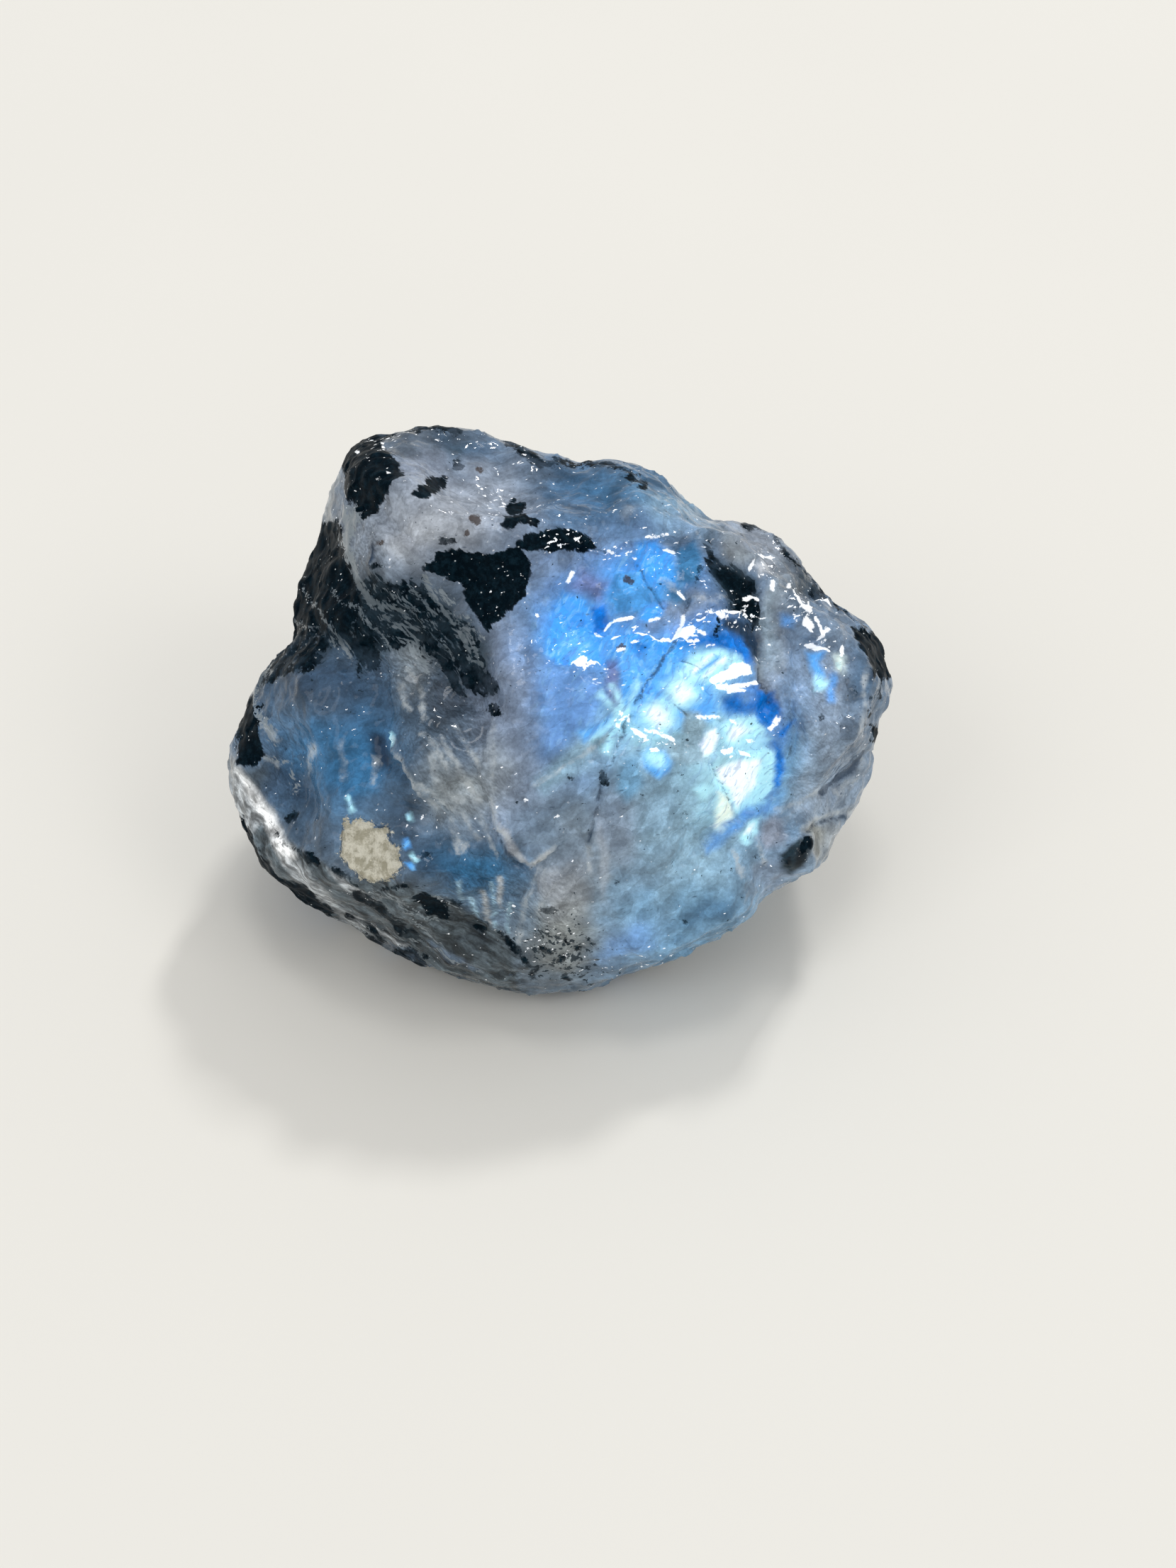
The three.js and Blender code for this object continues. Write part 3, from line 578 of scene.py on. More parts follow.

# Glints: painted highlights, white and with a painted glow, on fracture edges that the relief also tilts
# up to catch the key lamp: path and half width.
GLINTS = [
    ([(2.7, 5.4), (3.2, 5.8)], 0.1),
    ([(3.5, 5.95), (4.6, 6.15)], 0.14),
    ([(5.6, 5.95), (6.3, 6.1)], 0.09),
    ([(2.1, 5.2), (2.6, 4.85)], 0.09),
    ([(3.3, 4.7), (3.8, 4.95)], 0.09),
    ([(4.8, 5.25), (5.3, 5.15), (5.8, 4.9)], 0.1),
    ([(5.9, 4.8), (6.4, 4.6)], 0.2),
    ([(6.6, 4.9), (7.1, 4.9)], 0.2),
    ([(7.4, 4.9), (7.6, 5.6), (7.8, 6.4)], 0.13),
    ([(7.8, 5.1), (8.3, 5.3)], 0.34),
    ([(8.1, 4.5), (8.7, 4.6)], 0.1),
    ([(8.9, 5.1), (9.3, 5)], 0.1),
    ([(8.8, 6), (9.1, 6.1)], 0.14),
    ([(9.7, 6.6), (9.9, 6.5)], 0.16),
    ([(10.2, 6), (10.1, 6.3)], 0.12),
    ([(10.5, 6.5), (11.3, 6.4)], 0.13),
    ([(11.9, 5.8), (12.1, 5.7)], 0.09),
    ([(11.6, 7.1), (12.1, 7.3), (12.5, 7.1)], 0.13),
    ([(9.3, 4.25), (9.8, 4.3)], 0.07),
    ([(4.6, 4.4), (4.9, 4.45)], 0.1),
    ([(3.6, 4), (4.1, 4)], 0.13),
    ([(1, 3.4), (1.5, 3.6)], 0.24),
    ([(1.2, 3), (2, 3.1)], 0.26),
    ([(2.3, 3.2), (2.6, 3.1)], 0.14),
    ([(9.9, 2), (11, 2.7), (11.9, 3)], 0.2),
    ([(10.3, 2.05), (11.4, 2.5), (12.1, 2.6)], 0.17),
    ([(10.8, 2.95), (11.6, 3.2)], 0.08),
    ([(10.1, 1.6), (11.3, 1.7), (12.8, 2)], 0.13),
    ([(10.6, 1.3), (11.7, 1.45)], 0.13),
    ([(9.2, 1.6), (9.3, 1.5)], 0.08),
    ([(3.9, -0.2), (4.1, -0.15)], 0.09),
    ([(4.55, -0.35), (4.6, -0.85)], 0.08),
    ([(3.8, -0.9), (4.1, -1.1)], 0.09),
    ([(4.8, -1.2), (5.4, -1.55)], 0.12),
    ([(5.4, -1.15), (6.4, -1.35)], 0.1),
    ([(6.6, -1.5), (7.4, -1.8)], 0.09),
    ([(5.7, -2.4), (6.2, -2.4)], 0.12),
    ([(8.8, -0.3), (10.2, -0.35)], 0.09),
    ([(10.9, -0.55), (11.2, -0.65)], 0.08),
    ([(13.3, -1.1), (14, -0.3)], 0.09),
    ([(10.4, -2.5), (11.1, -2.4)], 0.13),
    ([(11.6, -2.6), (12, -2.7)], 0.11),
    ([(12.2, -1.9), (12.5, -1.9)], 0.07),
    ([(0.5, 8.3), (0.8, 8.9)], 0.1),
    ([(-1.4, 6.2), (-1.35, 6.2)], 0.11),
    ([(8.9, 8.15), (9.1, 8.1)], 0.1),
    ([(7.6, 7.7), (7.9, 7.4)], 0.1),
    ([(3, 10.2), (3.4, 10.1)], 0.09),
    ([(4.6, 9.8), (4.8, 9.8)], 0.09),
    ([(6.6, 10.3), (7.2, 10.1)], 0.12),
    ([(5.4, 11.1), (6.6, 11.2)], 0.06),
    ([(9.1, 10.4), (9.2, 10.4)], 0.08),
    ([(12.1, 9.4), (11.9, 9.1)], 0.13),
    ([(12.8, 9.9), (13.4, 9.7)], 0.13),
    ([(12.5, 8.6), (12.6, 8.5)], 0.08),
    ([(13.5, 8.2), (13.5, 7.7)], 0.12),
    ([(14.5, 8), (14.6, 7.9)], 0.13),
    ([(14.6, 7.4), (14.8, 6.8), (15.4, 6.3)], 0.2),
    ([(15.6, 6.6), (15.6, 6.3)], 0.14),
    ([(15.2, 5.8), (15.5, 5.5)], 0.19),
    ([(16, 5.7), (16.2, 5.1), (16, 4.8)], 0.19),
    ([(16.4, 5.1), (16.8, 5.2)], 0.12),
    ([(16.6, 7.1), (17.2, 6.7)], 0.07),
    ([(15.6, 4.2), (15.9, 4.2)], 0.17),
    ([(16, 3.9), (16.3, 4), (16.9, 3.9)], 0.17),
    ([(17.9, 4.1), (17.9, 3.7)], 0.13),
    ([(16.3, 7), (16.8, 7.1)], 0.14),
    ([(12.65, 3.5), (12.7, 3.45)], 0.1),
    ([(-3.8, 14), (-3.5, 13.4)], 0.07),
    ([(-11, 15.4), (-10.9, 15.3)], 0.09),
    ([(-11.5, 14.9), (-11.4, 14.8)], 0.08),
    ([(-11.3, 17), (-11.2, 16.7)], 0.06),
    ([(-12.9, 16.6), (-12.8, 16.5)], 0.07),
    ([(-2.3, -5.6), (-2, -5.7)], 0.06),
    ([(-0.25, -6.8), (-0.1, -6.6)], 0.06),
    ([(-2.9, -4), (-2.8, -3.9)], 0.06),
]

# Where broken edges glitter in flecks of painted highlight: middle, half sizes, strength.
GLITTER = [
    ((1.8, 3.2), (1.2, 0.7), 1.0),
    ((8, 5.1), (1.2, 0.8), 1.0),
    ((5.6, 5.1), (1.8, 0.6), 0.6),
    ((10.2, 6.3), (2.6, 0.8), 0.6),
    ((11.4, 6.1), (1.7, 0.9), 0.8),
    ((13, 9.3), (1, 1), 0.7),
    ((15, 7), (1, 1.5), 0.6),
    ((16.5, 4.6), (1.5, 0.9), 0.6),
    ((6, -1.6), (1.7, 0.5), 0.7),
    ((4.2, -0.5), (0.5, 0.5), 0.9),
    ((10.6, -2.5), (1.1, 0.4), 0.6),
    ((0.2, 11), (2.2, 0.7), 0.7),
    ((-4.6, 8.6), (2.2, 1.8), 0.25),
    ((3.5, 10.2), (1.3, 0.5), 0.6),
    ((6, 11), (1.8, 0.6), 0.4),
    ((0, 13.4), (6.5, 1.8), 0.2),
    ((-12, 15.2), (1.6, 2.2), 0.15),
    ((-10.5, 17.5), (3, 0.7), 0.4),
    ((-2.4, 15.8), (1, 1), 0.4),
    ((-4, 13.5), (0.8, 0.9), 0.5),
    ((-9.2, -6.9), (1, 1.3), 0.4),
    ((4, -16), (3.4, 0.7), 0.4),
    ((-0.4, -14.8), (2.2, 1.7), 0.4),
    ((-3.2, -13.2), (0.8, 1.4), 0.3),
    ((15.6, -8.6), (1.2, 1.2), 0.1),
    ((-14, -1), (2.6, 1.8), 0.12),
]

# Thin dark cracks, one of them painted shade beside a ledge: path and half width.
CRACKS = [
    ([(8.2, 7.4), (7.7, 5.6), (7.3, 4.5), (6.6, 3.4), (6, 2.4), (5.5, 1.2), (4.9, 0.2)], 0.11),
    ([(4.7, -0.5), (4, -2), (2.7, -4)], 0.08),
    # Painted shade: the dark side of the V-shaped ledge, also cut in as a shallow groove.
    ([(-4.7, -6.4), (-3.5, -8.8), (-2.6, -10.2)], 0.08),
    ([(16.9, -5.2), (18.2, -4.1), (19.5, -2.7)], 0.2),
    ([(15.9, -7.5), (17.1, -6.9), (18.3, -6.6)], 0.08),
    ([(12.6, 4.4), (12.9, 2.4), (13.6, 0.6)], 0.1),
    ([(14.6, 0.6), (14.9, -1.4), (14.6, -3)], 0.05),
    ([(2.6, -4.6), (2.3, -6.4), (1.8, -8.2)], 0.08),
    ([(9.4, 2.6), (8.4, 3.2), (7.6, 3.4)], 0.05),
    ([(6.8, 1), (7.6, 0.2), (8.2, -0.2)], 0.05),
    ([(4.9, 9.4), (5.6, 8.2), (6.6, 6.8)], 0.06),
    ([(9.6, -3.4), (10.4, -4.8), (11, -5.8)], 0.05),
]

# Brown iron spots: path and half width.
RUST = [
    ([(-5.6, 12.35), (-5.3, 12.2)], 0.24),
    ([(-5.9, 11.4), (-5.7, 11.45)], 0.16),
    ([(-11.6, 10.8), (-11.4, 10.8)], 0.18),
    ([(-5.2, 15.4), (-5, 15.3)], 0.12),
    ([(3.8, 4), (4, 4)], 0.16),
    ([(4.3, 8.5), (4.5, 8.4)], 0.2),
]

# The chalky crust's edge.
CRUST = [
    (-13.8, -6.9), (-13, -6.8), (-12.4, -6.9), (-11.5, -7.3), (-10.9, -7.2), (-10.8, -8.2), (-10.2, -9),
    (-10, -9.8), (-10.6, -10.5), (-11.6, -10.9), (-12.6, -10.5), (-13.5, -9.8), (-14, -9), (-13.9, -7.8),
]

# Ledges broken across the display face: path, drop and reach. The ground on the path's left
# hand lies lower by the drop, or higher where it is below 0, and evens out within the reach.
LEDGES = [
    ([(-0.4, -8.8), (-2.2, -9.9), (-3.8, -8.5), (-5, -4.5), (-4.3, -0.2)], 0.45, 2.6),
    ([(-8.4, -5.4), (-9.6, -4.5), (-11, -1.8), (-11, 1)], 0.5, 3),
    ([(4, -2), (5.5, 1.2), (6.2, 2.8), (7.4, 5), (8, 6.6)], 0.35, 2.4),
    ([(2.2, 10.6), (5, 10.5), (9, 10.7)], -0.5, 3.2),
    ([(-1.4, -4.6), (1.4, -3.2), (4, -1.6)], 0.3, 2.2),
    ([(2.2, 5), (4.8, 5), (7.4, 4.4), (8.8, 4.4)], 0.45, 1.8),
    ([(8.6, 5.8), (9.8, 6.4), (11.4, 6.3), (13, 5.4)], 0.45, 1.8),
    ([(9.6, 1.4), (11.4, 1.3), (13, 1.7)], 0.4, 1.8),
    ([(4.6, -1.4), (6.2, -1.6), (7.6, -2)], 0.3, 1.4),
    ([(8.6, -0.5), (10.4, -0.5), (12.8, -0.3)], 0.3, 1.4),
    ([(10.2, -2.7), (12, -2.8), (13.2, -2.2)], 0.3, 1.4),
    ([(17.4, 2.6), (16.4, 5.2), (14.4, 8)], -0.4, 2.2),
    ([(-6.8, -10.9), (-2.9, -12.2), (0, -10.6)], 0.35, 2.4),
    ([(9, -8.8), (11, -7.4), (13.4, -5.6)], 0.4, 2.6),
    ([(0.4, 2.9), (1.6, 2.8), (3, 2.9)], 0.35, 1.4),
    ([(-12.9, 12.9), (-10, 11), (-8.2, 10.4)], 0.5, 2.4),
]

# Where the break faces are most crumpled: middle, half sizes, strength.
CRUMPLES = [
    ((9.5, 3), (6, 6), 1.0),
    ((15.8, 4), (3.4, 6), 1.0),
    ((5, 9.5), (9, 2), 0.8),
    ((-11, 6), (6, 4), 0.8),
    ((-5.6, 8), (3.6, 3), 0.9),
    ((-12, 15), (2, 3), 0.9),
    ((-8, -14), (9, 2.6), 0.6),
]

# Where the feldspar is fibrous: middle, half sizes, strength.
FIBROUS = [
    ((-7.4, -0.6), (3.2, 4.2), 0.7),
    ((-6, -5), (3, 3), 0.6),
    ((-12.6, 8), (2, 5), 0.8),
    ((-9.6, 3), (3, 2), 0.9),
    ((-4.6, -11.6), (3, 2.4), 0.7),
    ((-17.6, -3), (2, 3.4), 0.6),
    ((16, -2), (3, 6), 0.4),
    ((-1, -13), (2.2, 2.4), 0.6),
]

# The lower wall, ribbed like wood.
WALL = [
    (-20.9, -3), (-18.6, -6.6), (-17.2, -8.4), (-13.8, -10.4), (-9.6, -10.9), (-7, -12), (-3.4, -14.2),
    (-1.8, -16.4), (-2.6, -18), (-8, -17.6), (-15, -14.5), (-20.5, -9.5),
]

# The peppery ground at the foot of the face: middle, half sizes, turn in degrees.
PEPPER = ((0.2, -15.4), (3.0, 1.9), -20)

# Tones of the sides that are turned away, laid by noise, later ones over earlier ones: tone,
# wave in millimetres, seed, noise where the tone starts and where it is full, strength.
BACK_TONES = [
    ("slate", 7, 51, 0, 0.4, 1.0),
    ("pale", 7, 51, -0.05, -0.5, 0.8),
    ("dusk", 3, 52, 0.1, 0.5, 0.6),
    ("cream", 2.2, 56, 0.15, 0.5, 0.5),
]

# A weak blue sheen painted over those sides, with a painted glow: waves, heights and seeds of its
# noise, noise where it starts and where it is full, how much it tints and how strongly it glows.
BACK_SHEEN_WAVES = ((6, 1.0, 53), (2, 0.4, 54))
BACK_SHEEN_RANGE = (0.12, 0.6)
BACK_SHEEN_TINT = 0.45
BACK_SHEEN_LIGHT = 0.04

# Tourmaline on those sides: waves, heights and seeds of its noise, noise from which it is
# solid and from which it is broken, and its depth for each step of noise.
BACK_BLACK_WAVES = ((6.5, 1.0, 31), (2.6, 0.5, 32), (1.1, 0.25, 33))
BACK_SOLID_FROM = 0.5
BACK_BROKEN_FROM = 0.36
BACK_BLACK_SLOPE = 4

# How noise pushes the drawn edges about, so that they look grown: rounds of wave and reach.
LEDGE_STRAY = ((2.6, 0.6), (0.9, 0.3))
BROKEN_STRAY = ((1.9, 0.5), (0.7, 0.2))
MARK_STRAY = ((1.9, 0.15), (0.7, 0.16))
GLINT_STRAY = ((0.5, 0.07),)
WASH_STRAY = ((3.1, 0.9), (1.2, 0.45))
FLASH_STRAY = ((1.6, 0.14), (0.6, 0.08))

# Noise that frays the edges of the flash: wave, height and seed.
FLASH_FRAY = ((0.5, 0.1, 55),)

# Relief too fine for the solid, in millimetres.
SCALLOP_SIZE = 5.2
FACETS = ((2.4, 1.0, 2.5), (1.15, 0.5, 6.5))  # size, share of the facet height, seed
LUMPS = ((1.8, 0.24, 11), (0.8, 0.14, 12))  # wave, height, seed
RELIEF_WARP = 0.5  # how far noise shifts the hollows and facets
RELIEF_WARP_WAVE = 2.2
CRACK_DEPTH = 0.25
CRACK_BANK = 0.12  # width of the slope beside a crack
GLINT_STEEPNESS = 1.2
GLINT_REACH = 2.5  # in half widths
CRUST_HEIGHT = 0.3

# Depths inside their edges between which the crust rises and the wall's ribs begin.
CRUST_SLOPE = (-0.1, 0.3)
WALL_SLOPE = (-0.5, 0.3)

# Heights over the floor between which the relief begins, so that the rest face stays flat.
GRIP = (0.05, 0.8)

# How crumpled the face is between its CRUMPLES, and the sides that are turned away in their
# mesh and in their finish, and how fibrous those are.
LEAST_CRUMPLE = 0.35
BACK_CRUMPLE = 0.6
BACK_FLAKES = 0.5
BACK_FIBRE = 0.7

# Where the display face ends: cosines of the angle towards DRAWN_FROM, between which its
# relief, its markings and its finer mesh begin.
RELIEF_EDGE = (0.05, 0.35)
MARKING_EDGE = (-0.35, -0.1)
FINE_MESH_EDGE = (-0.15, 0.05)

# Depths count in millimetres from a marking's edge, above 0 inside it. FAR_OUTSIDE is out of
# the reach of every marking, and patches count no deeper than DEEPEST.
FAR_OUTSIDE = -9.0
DEEPEST = 1.5

# Corners of the solid closer than this, in metres, are the same corner.
MERGE_WITHIN = 0.001 * MM

# Turns the middle of a cell of noise into a random number of its own.
CELL_SCATTER = 17.3


# ---- Working on the display face --------------------------------------------------------


def on_face(places):
    """u and v of places given in metres, as they look from DRAWN_FROM."""
    lifted = places / MM - np.array([0, 0, FACE_CENTRE_HEIGHT])
    u0, v0, reach = DRAWN_FROM
    nearer = reach / (reach - lifted @ FACE_OUT)
    return u0 + (lifted @ FACE_RIGHT - u0) * nearer, v0 + (lifted @ FACE_UP - v0) * nearer


def facing(places, normals, edge):
    """1 where the surface faces DRAWN_FROM, 0 where it is turned away. The edge is the two
    cosines between which it climbs."""
    right, up, reach = DRAWN_FROM
    eye = right * FACE_RIGHT + up * FACE_UP + reach * FACE_OUT + np.array([0, 0, FACE_CENTRE_HEIGHT])
    sight = eye - places / MM
    sight /= np.linalg.norm(sight, axis=1)[:, None]
    return smooth_rise((normals * sight).sum(axis=1), *edge)


def smooth_rise(value, low, high):
    """0 up to low, 1 from high, with a soft climb between."""
    climb = np.clip((value - low) / (high - low), 0, 1)
    return climb * climb * (3 - 2 * climb)


def beside_path(path, u, v):
    """How far places lie from a path, and whether on its left hand."""
    nearest = np.full(len(u), np.inf)
    on_left = np.zeros(len(u), bool)
    for (u0, v0), (u1, v1) in zip(path, path[1:]):
        du, dv = u1 - u0, v1 - v0
        along = np.clip(((u - u0) * du + (v - v0) * dv) / (du * du + dv * dv), 0, 1)
        apart = np.hypot(u - u0 - along * du, v - v0 - along * dv)
        closer = apart < nearest
        nearest = np.where(closer, apart, nearest)
        on_left = np.where(closer, du * (v - v0) - dv * (u - u0) > 0, on_left)
    return nearest, on_left


def within_patch(edge, u, v):
    """How deep places lie inside a patch."""
    apart, _ = beside_path(edge + edge[:1], u, v)
    inside = np.zeros(len(u), bool)
    for (u0, v0), (u1, v1) in zip(edge, edge[1:] + edge[:1]):
        spans = (v0 > v) != (v1 > v)
        if v1 != v0:
            inside ^= spans & (u < (u1 - u0) * (v - v0) / (v1 - v0) + u0)
    return np.where(inside, apart, -apart)


def within_patches(edges, u, v):
    """How deep places lie inside the nearest of the patches."""
    depths = [within_patch(edge, u, v) for edge in edges]
    return np.clip(np.max(depths, axis=0), FAR_OUTSIDE, DEEPEST)


def within_strokes(strokes, u, v):
    """How deep places lie inside the nearest of the strokes."""
    depths = [half - beside_path(path, u, v)[0] for path, half in strokes]
    return np.maximum(np.max(depths, axis=0), FAR_OUTSIDE)


def blob(middle, half, turn, u, v):
    """A soft round patch: 1 in its middle, a half at its edge."""
    cos, sin = math.cos(math.radians(turn)), math.sin(math.radians(turn))
    du, dv = u - middle[0], v - middle[1]
    out = np.hypot((du * cos + dv * sin) / half[0], (dv * cos - du * sin) / half[1])
    return 1 / (1 + out**4)


def strongest(regions, u, v):
    """The strength of the strongest of the soft regions at each place."""
    levels = [strength * blob(middle, half, 0, u, v) for middle, half, strength in regions]
    return np.max(levels, axis=0)


def field(places, wave, seed):
    """Smooth noise at the places, in waves of that many millimetres."""
    shift = Vector((seed, 2.3 * seed, -1.7 * seed))
    return np.array([noise.noise(Vector(p) / (wave * MM) + shift) for p in places])


def layered_field(places, waves):
    """Noise in several waves at once, each with its own height and seed."""
    return sum(height * field(places, wave, seed) for wave, height, seed in waves)


def strayed(u, v, places, rounds, seed):
    """u and v pushed about by noise, in rounds of wave and reach."""
    for step, (wave, reach) in enumerate(rounds):
        u = u + reach * field(places, wave, seed + 2 * step)
        v = v + reach * field(places, wave, seed + 2 * step + 1)
    return u, v


def scallops(places, size, seed):
    """Shell-shaped hollows with sharp edges, a hollow's middle at 0 and its edge near 1."""
    shift = Vector((seed, -seed, 0.5 * seed))
    found = (noise.voronoi(Vector(p) / (size * MM) + shift)[0][0] for p in places)
    return np.fromiter(found, float, len(places)) ** 2 * 1.6


def facets(places, size, seed):
    """Flat tilted break faces with steps between, about -1 to 1."""
    shift = Vector((-seed, seed, 0.3 * seed))
    heights = []
    for p in places:
        here = Vector(p) / (size * MM) + shift
        middle = noise.voronoi(here)[1][0]
        tilt = noise.cell_vector(middle * CELL_SCATTER) - Vector((0.5, 0.5, 0.5))
        heights.append(tilt.dot(here - middle) * 2)
    return np.array(heights)


# ---- The stone's mesh -------------------------------------------------------------------


def copy_of_solid(node):
    """A bmesh of the solid's own surface, with its doubled corners merged."""
    form = bmesh.new()
    form.from_mesh(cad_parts[node].data)
    bmesh.ops.remove_doubles(form, verts=form.verts, dist=MERGE_WITHIN)
    return form


def places_of(form):
    """The vertices' places in metres, as rows."""
    return np.array([v.co[:] for v in form.verts])


def normals_of(form):
    """The vertices' normals, as rows."""
    form.normal_update()
    return np.array([v.normal[:] for v in form.verts])


def put_back(form, places):
    """Moves the vertices, and keeps all of them on or above the ground."""
    places[:, 2] = np.maximum(places[:, 2], 0)
    for vertex, place in zip(form.verts, places):
        vertex.co = place


def refine(form, shape):
    """Cuts the surface finer, rounds the solid's flat triangles, then cuts the display
    face finer again."""
    bmesh.ops.subdivide_edges(form, edges=form.edges[:], cuts=2, use_grid_fill=True)
    for _ in range(shape.rounding):
        bmesh.ops.smooth_vert(
            form, verts=form.verts[:], factor=0.5, use_axis_x=True, use_axis_y=True, use_axis_z=True
        )
    form.verts.index_update()
    shown = facing(places_of(form), normals_of(form), FINE_MESH_EDGE) > 0.5
    edges = [e for e in form.edges if shown[e.verts[0].index] and shown[e.verts[1].index]]
    bmesh.ops.subdivide_edges(form, edges=edges, cuts=1, use_grid_fill=True)
    bmesh.ops.triangulate(form, faces=form.faces[:])


def relief(places, normals, shape):
    """How far each place moves out along its normal, in millimetres."""
    u, v = on_face(places)
    shown = facing(places, normals, RELIEF_EDGE)
    crumple = np.maximum(strongest(CRUMPLES, u, v), LEAST_CRUMPLE) * shown
    crumple += BACK_CRUMPLE * (1 - shown)
    warp = np.stack([field(places, RELIEF_WARP_WAVE, seed) for seed in (8, 9, 10)], axis=1)
    warped = places + RELIEF_WARP * MM * warp
    rise = shape.scallop_depth / MM * (scallops(warped, SCALLOP_SIZE, 1.5) - 0.5)
    for size, share, seed in FACETS:
        rise += crumple * share * shape.facet_height / MM * facets(warped, size, seed)
    rise += layered_field(places, LUMPS)
    return rise + shown * drawn_relief(places, u, v)


def drawn_relief(places, u, v):
    """How far the drawn ledges, cracks, glints and crust stand out or in."""
    rise = np.zeros(len(u))
    near_u, near_v = strayed(u, v, places, LEDGE_STRAY, 3)
    for path, drop, reach in LEDGES:
        apart, left = beside_path(path, near_u, near_v)
        rise -= drop * left * np.maximum(0, 1 - apart / reach)
    for path, half in CRACKS:
        apart, _ = beside_path(path, u, v)
        rise -= CRACK_DEPTH * np.exp(-((apart / (half + CRACK_BANK)) ** 2))
    for path, half in GLINTS:
        apart, left = beside_path(path, u, v)
        tilt = np.where(left, -GLINT_STEEPNESS, GLINT_STEEPNESS)
        rise += tilt * np.minimum(half, apart) * np.exp(-((apart / (GLINT_REACH * half)) ** 2))
    return rise + CRUST_HEIGHT * smooth_rise(within_patch(CRUST, near_u, near_v), *CRUST_SLOPE)


def zone_map(places, normals):
    """The stone's zones at each vertex: depths inside the drawn markings, and strengths."""
    u, v = on_face(places)
    shown = facing(places, normals, MARKING_EDGE)
    hidden = FAR_OUTSIDE * (1 - shown)
    mark_u, mark_v = strayed(u, v, places, MARK_STRAY, 21)
    broken_u, broken_v = strayed(u, v, places, BROKEN_STRAY, 21)
    glint_u, glint_v = strayed(u, v, places, GLINT_STRAY, 27)
    black = within_patches(BLACK_PATCHES, mark_u, mark_v)
    broken = within_patches(DARK_PATCHES, broken_u, broken_v)
    back = layered_field(places, BACK_BLACK_WAVES)
    zones = {
        "black": np.where(shown < 0.5, (back - BACK_SOLID_FROM) * BACK_BLACK_SLOPE, black),
        "broken": np.where(shown < 0.5, (back - BACK_BROKEN_FROM) * BACK_BLACK_SLOPE, broken),
        "vein": within_strokes(VEINS, broken_u, broken_v) + hidden,
        "glint": within_strokes(GLINTS, glint_u, glint_v) + hidden,
        "crust": within_patch(CRUST, mark_u, mark_v) + hidden,
        "crumple": np.maximum(strongest(CRUMPLES, u, v) * shown, BACK_FLAKES * (1 - shown)),
        "fibre": np.maximum(strongest(FIBROUS, u, v) * shown, BACK_FIBRE * (1 - shown)),
        "glitter": strongest(GLITTER, u, v) * shown,
        "wood": smooth_rise(within_patch(WALL, u, v), *WALL_SLOPE) * shown,
        "speckle": blob(*PEPPER, u, v) * shown,
    }
    for name, strokes in (
        ("needle", BLACK_STROKES), ("feather", FEATHERS), ("crack", CRACKS), ("rust", RUST)
    ):
        zones[name] = within_strokes(strokes, mark_u, mark_v) + hidden
    return zones


def laid_over(under, tone, share):
    """Rows of colour with a tone laid over each by its share."""
    return under + share[:, None] * (np.array(tone) - under)


def tones_and_light(places, normals, colours):
    """The feldspar's soft tone at each vertex, as linear colour rows, with the flash's sheen
    painted in, and the strength of its painted glow."""
    u, v = on_face(places)
    shown = facing(places, normals, MARKING_EDGE)
    wash_u, wash_v = strayed(u, v, places, WASH_STRAY, 41)
    flash_u, flash_v = strayed(u, v, places, FLASH_STRAY, 47)
    fray = layered_field(places, FLASH_FRAY)
    layers = []
    for name, middle, half, turn, strength in WASHES:
        layers.append((name, strength * blob(middle, half, turn, wash_u, wash_v)))
    for name, soft, edge in FLASHES:
        layers.append((name, smooth_rise(within_patch(edge, flash_u, flash_v) + fray, -soft, soft)))
    front = behind = np.tile(np.array(colours["body"]), (len(u), 1))
    light = np.zeros(len(u))
    for name, share in layers:
        front = laid_over(front, colours[name], share)
        light = light + share * (FLASH_LIGHT.get(name, 0) - light)
    for name, wave, seed, low, high, strength in BACK_TONES:
        share = strength * smooth_rise(field(places, wave, seed), low, high)
        behind = laid_over(behind, colours[name], share)
    sheen = smooth_rise(layered_field(places, BACK_SHEEN_WAVES), *BACK_SHEEN_RANGE)
    behind = laid_over(behind, colours["cornflower"], BACK_SHEEN_TINT * sheen)
    share = shown[:, None]
    tones = front * share + behind * (1 - share)
    return tones, light * shown + BACK_SHEEN_LIGHT * sheen * (1 - shown)


def keep_zone(mesh, name, values):
    """Stores one number at each vertex, for the finish to read."""
    zone = mesh.attributes.new(name, "FLOAT", "POINT")
    zone.data.foreach_set("value", np.ascontiguousarray(values, dtype=np.float32))


def keep_tones(mesh, name, rows):
    """Stores a colour at each vertex, for the finish to read."""
    zone = mesh.attributes.new(name, "FLOAT_COLOR", "POINT")
    full = np.ones((len(rows), 4), dtype=np.float32)
    full[:, :3] = rows
    zone.data.foreach_set("color", full.ravel())


def new_stone(node, shape, colours):
    """The finished stone's object, made from its solid."""
    form = copy_of_solid(node)
    refine(form, shape)
    places = places_of(form)
    normals = normals_of(form)
    zones = zone_map(places, normals)
    tones, zones["glow"] = tones_and_light(places, normals, colours)
    grip = smooth_rise(places[:, 2] / MM, *GRIP)
    rise = relief(places, normals, shape) * grip * MM
    put_back(form, places + normals * rise[:, None])
    mesh = bpy.data.meshes.new("moonstone_skin")
    form.to_mesh(mesh)
    form.free()
    for name, values in zones.items():
        keep_zone(mesh, name, values)
    keep_tones(mesh, "tone", tones)
    mesh.shade_smooth()
    stone = bpy.data.objects.new("moonstone_skin", mesh)
    bpy.context.scene.collection.objects.link(stone)
    return stone


# ---- The stone's finish -----------------------------------------------------------------


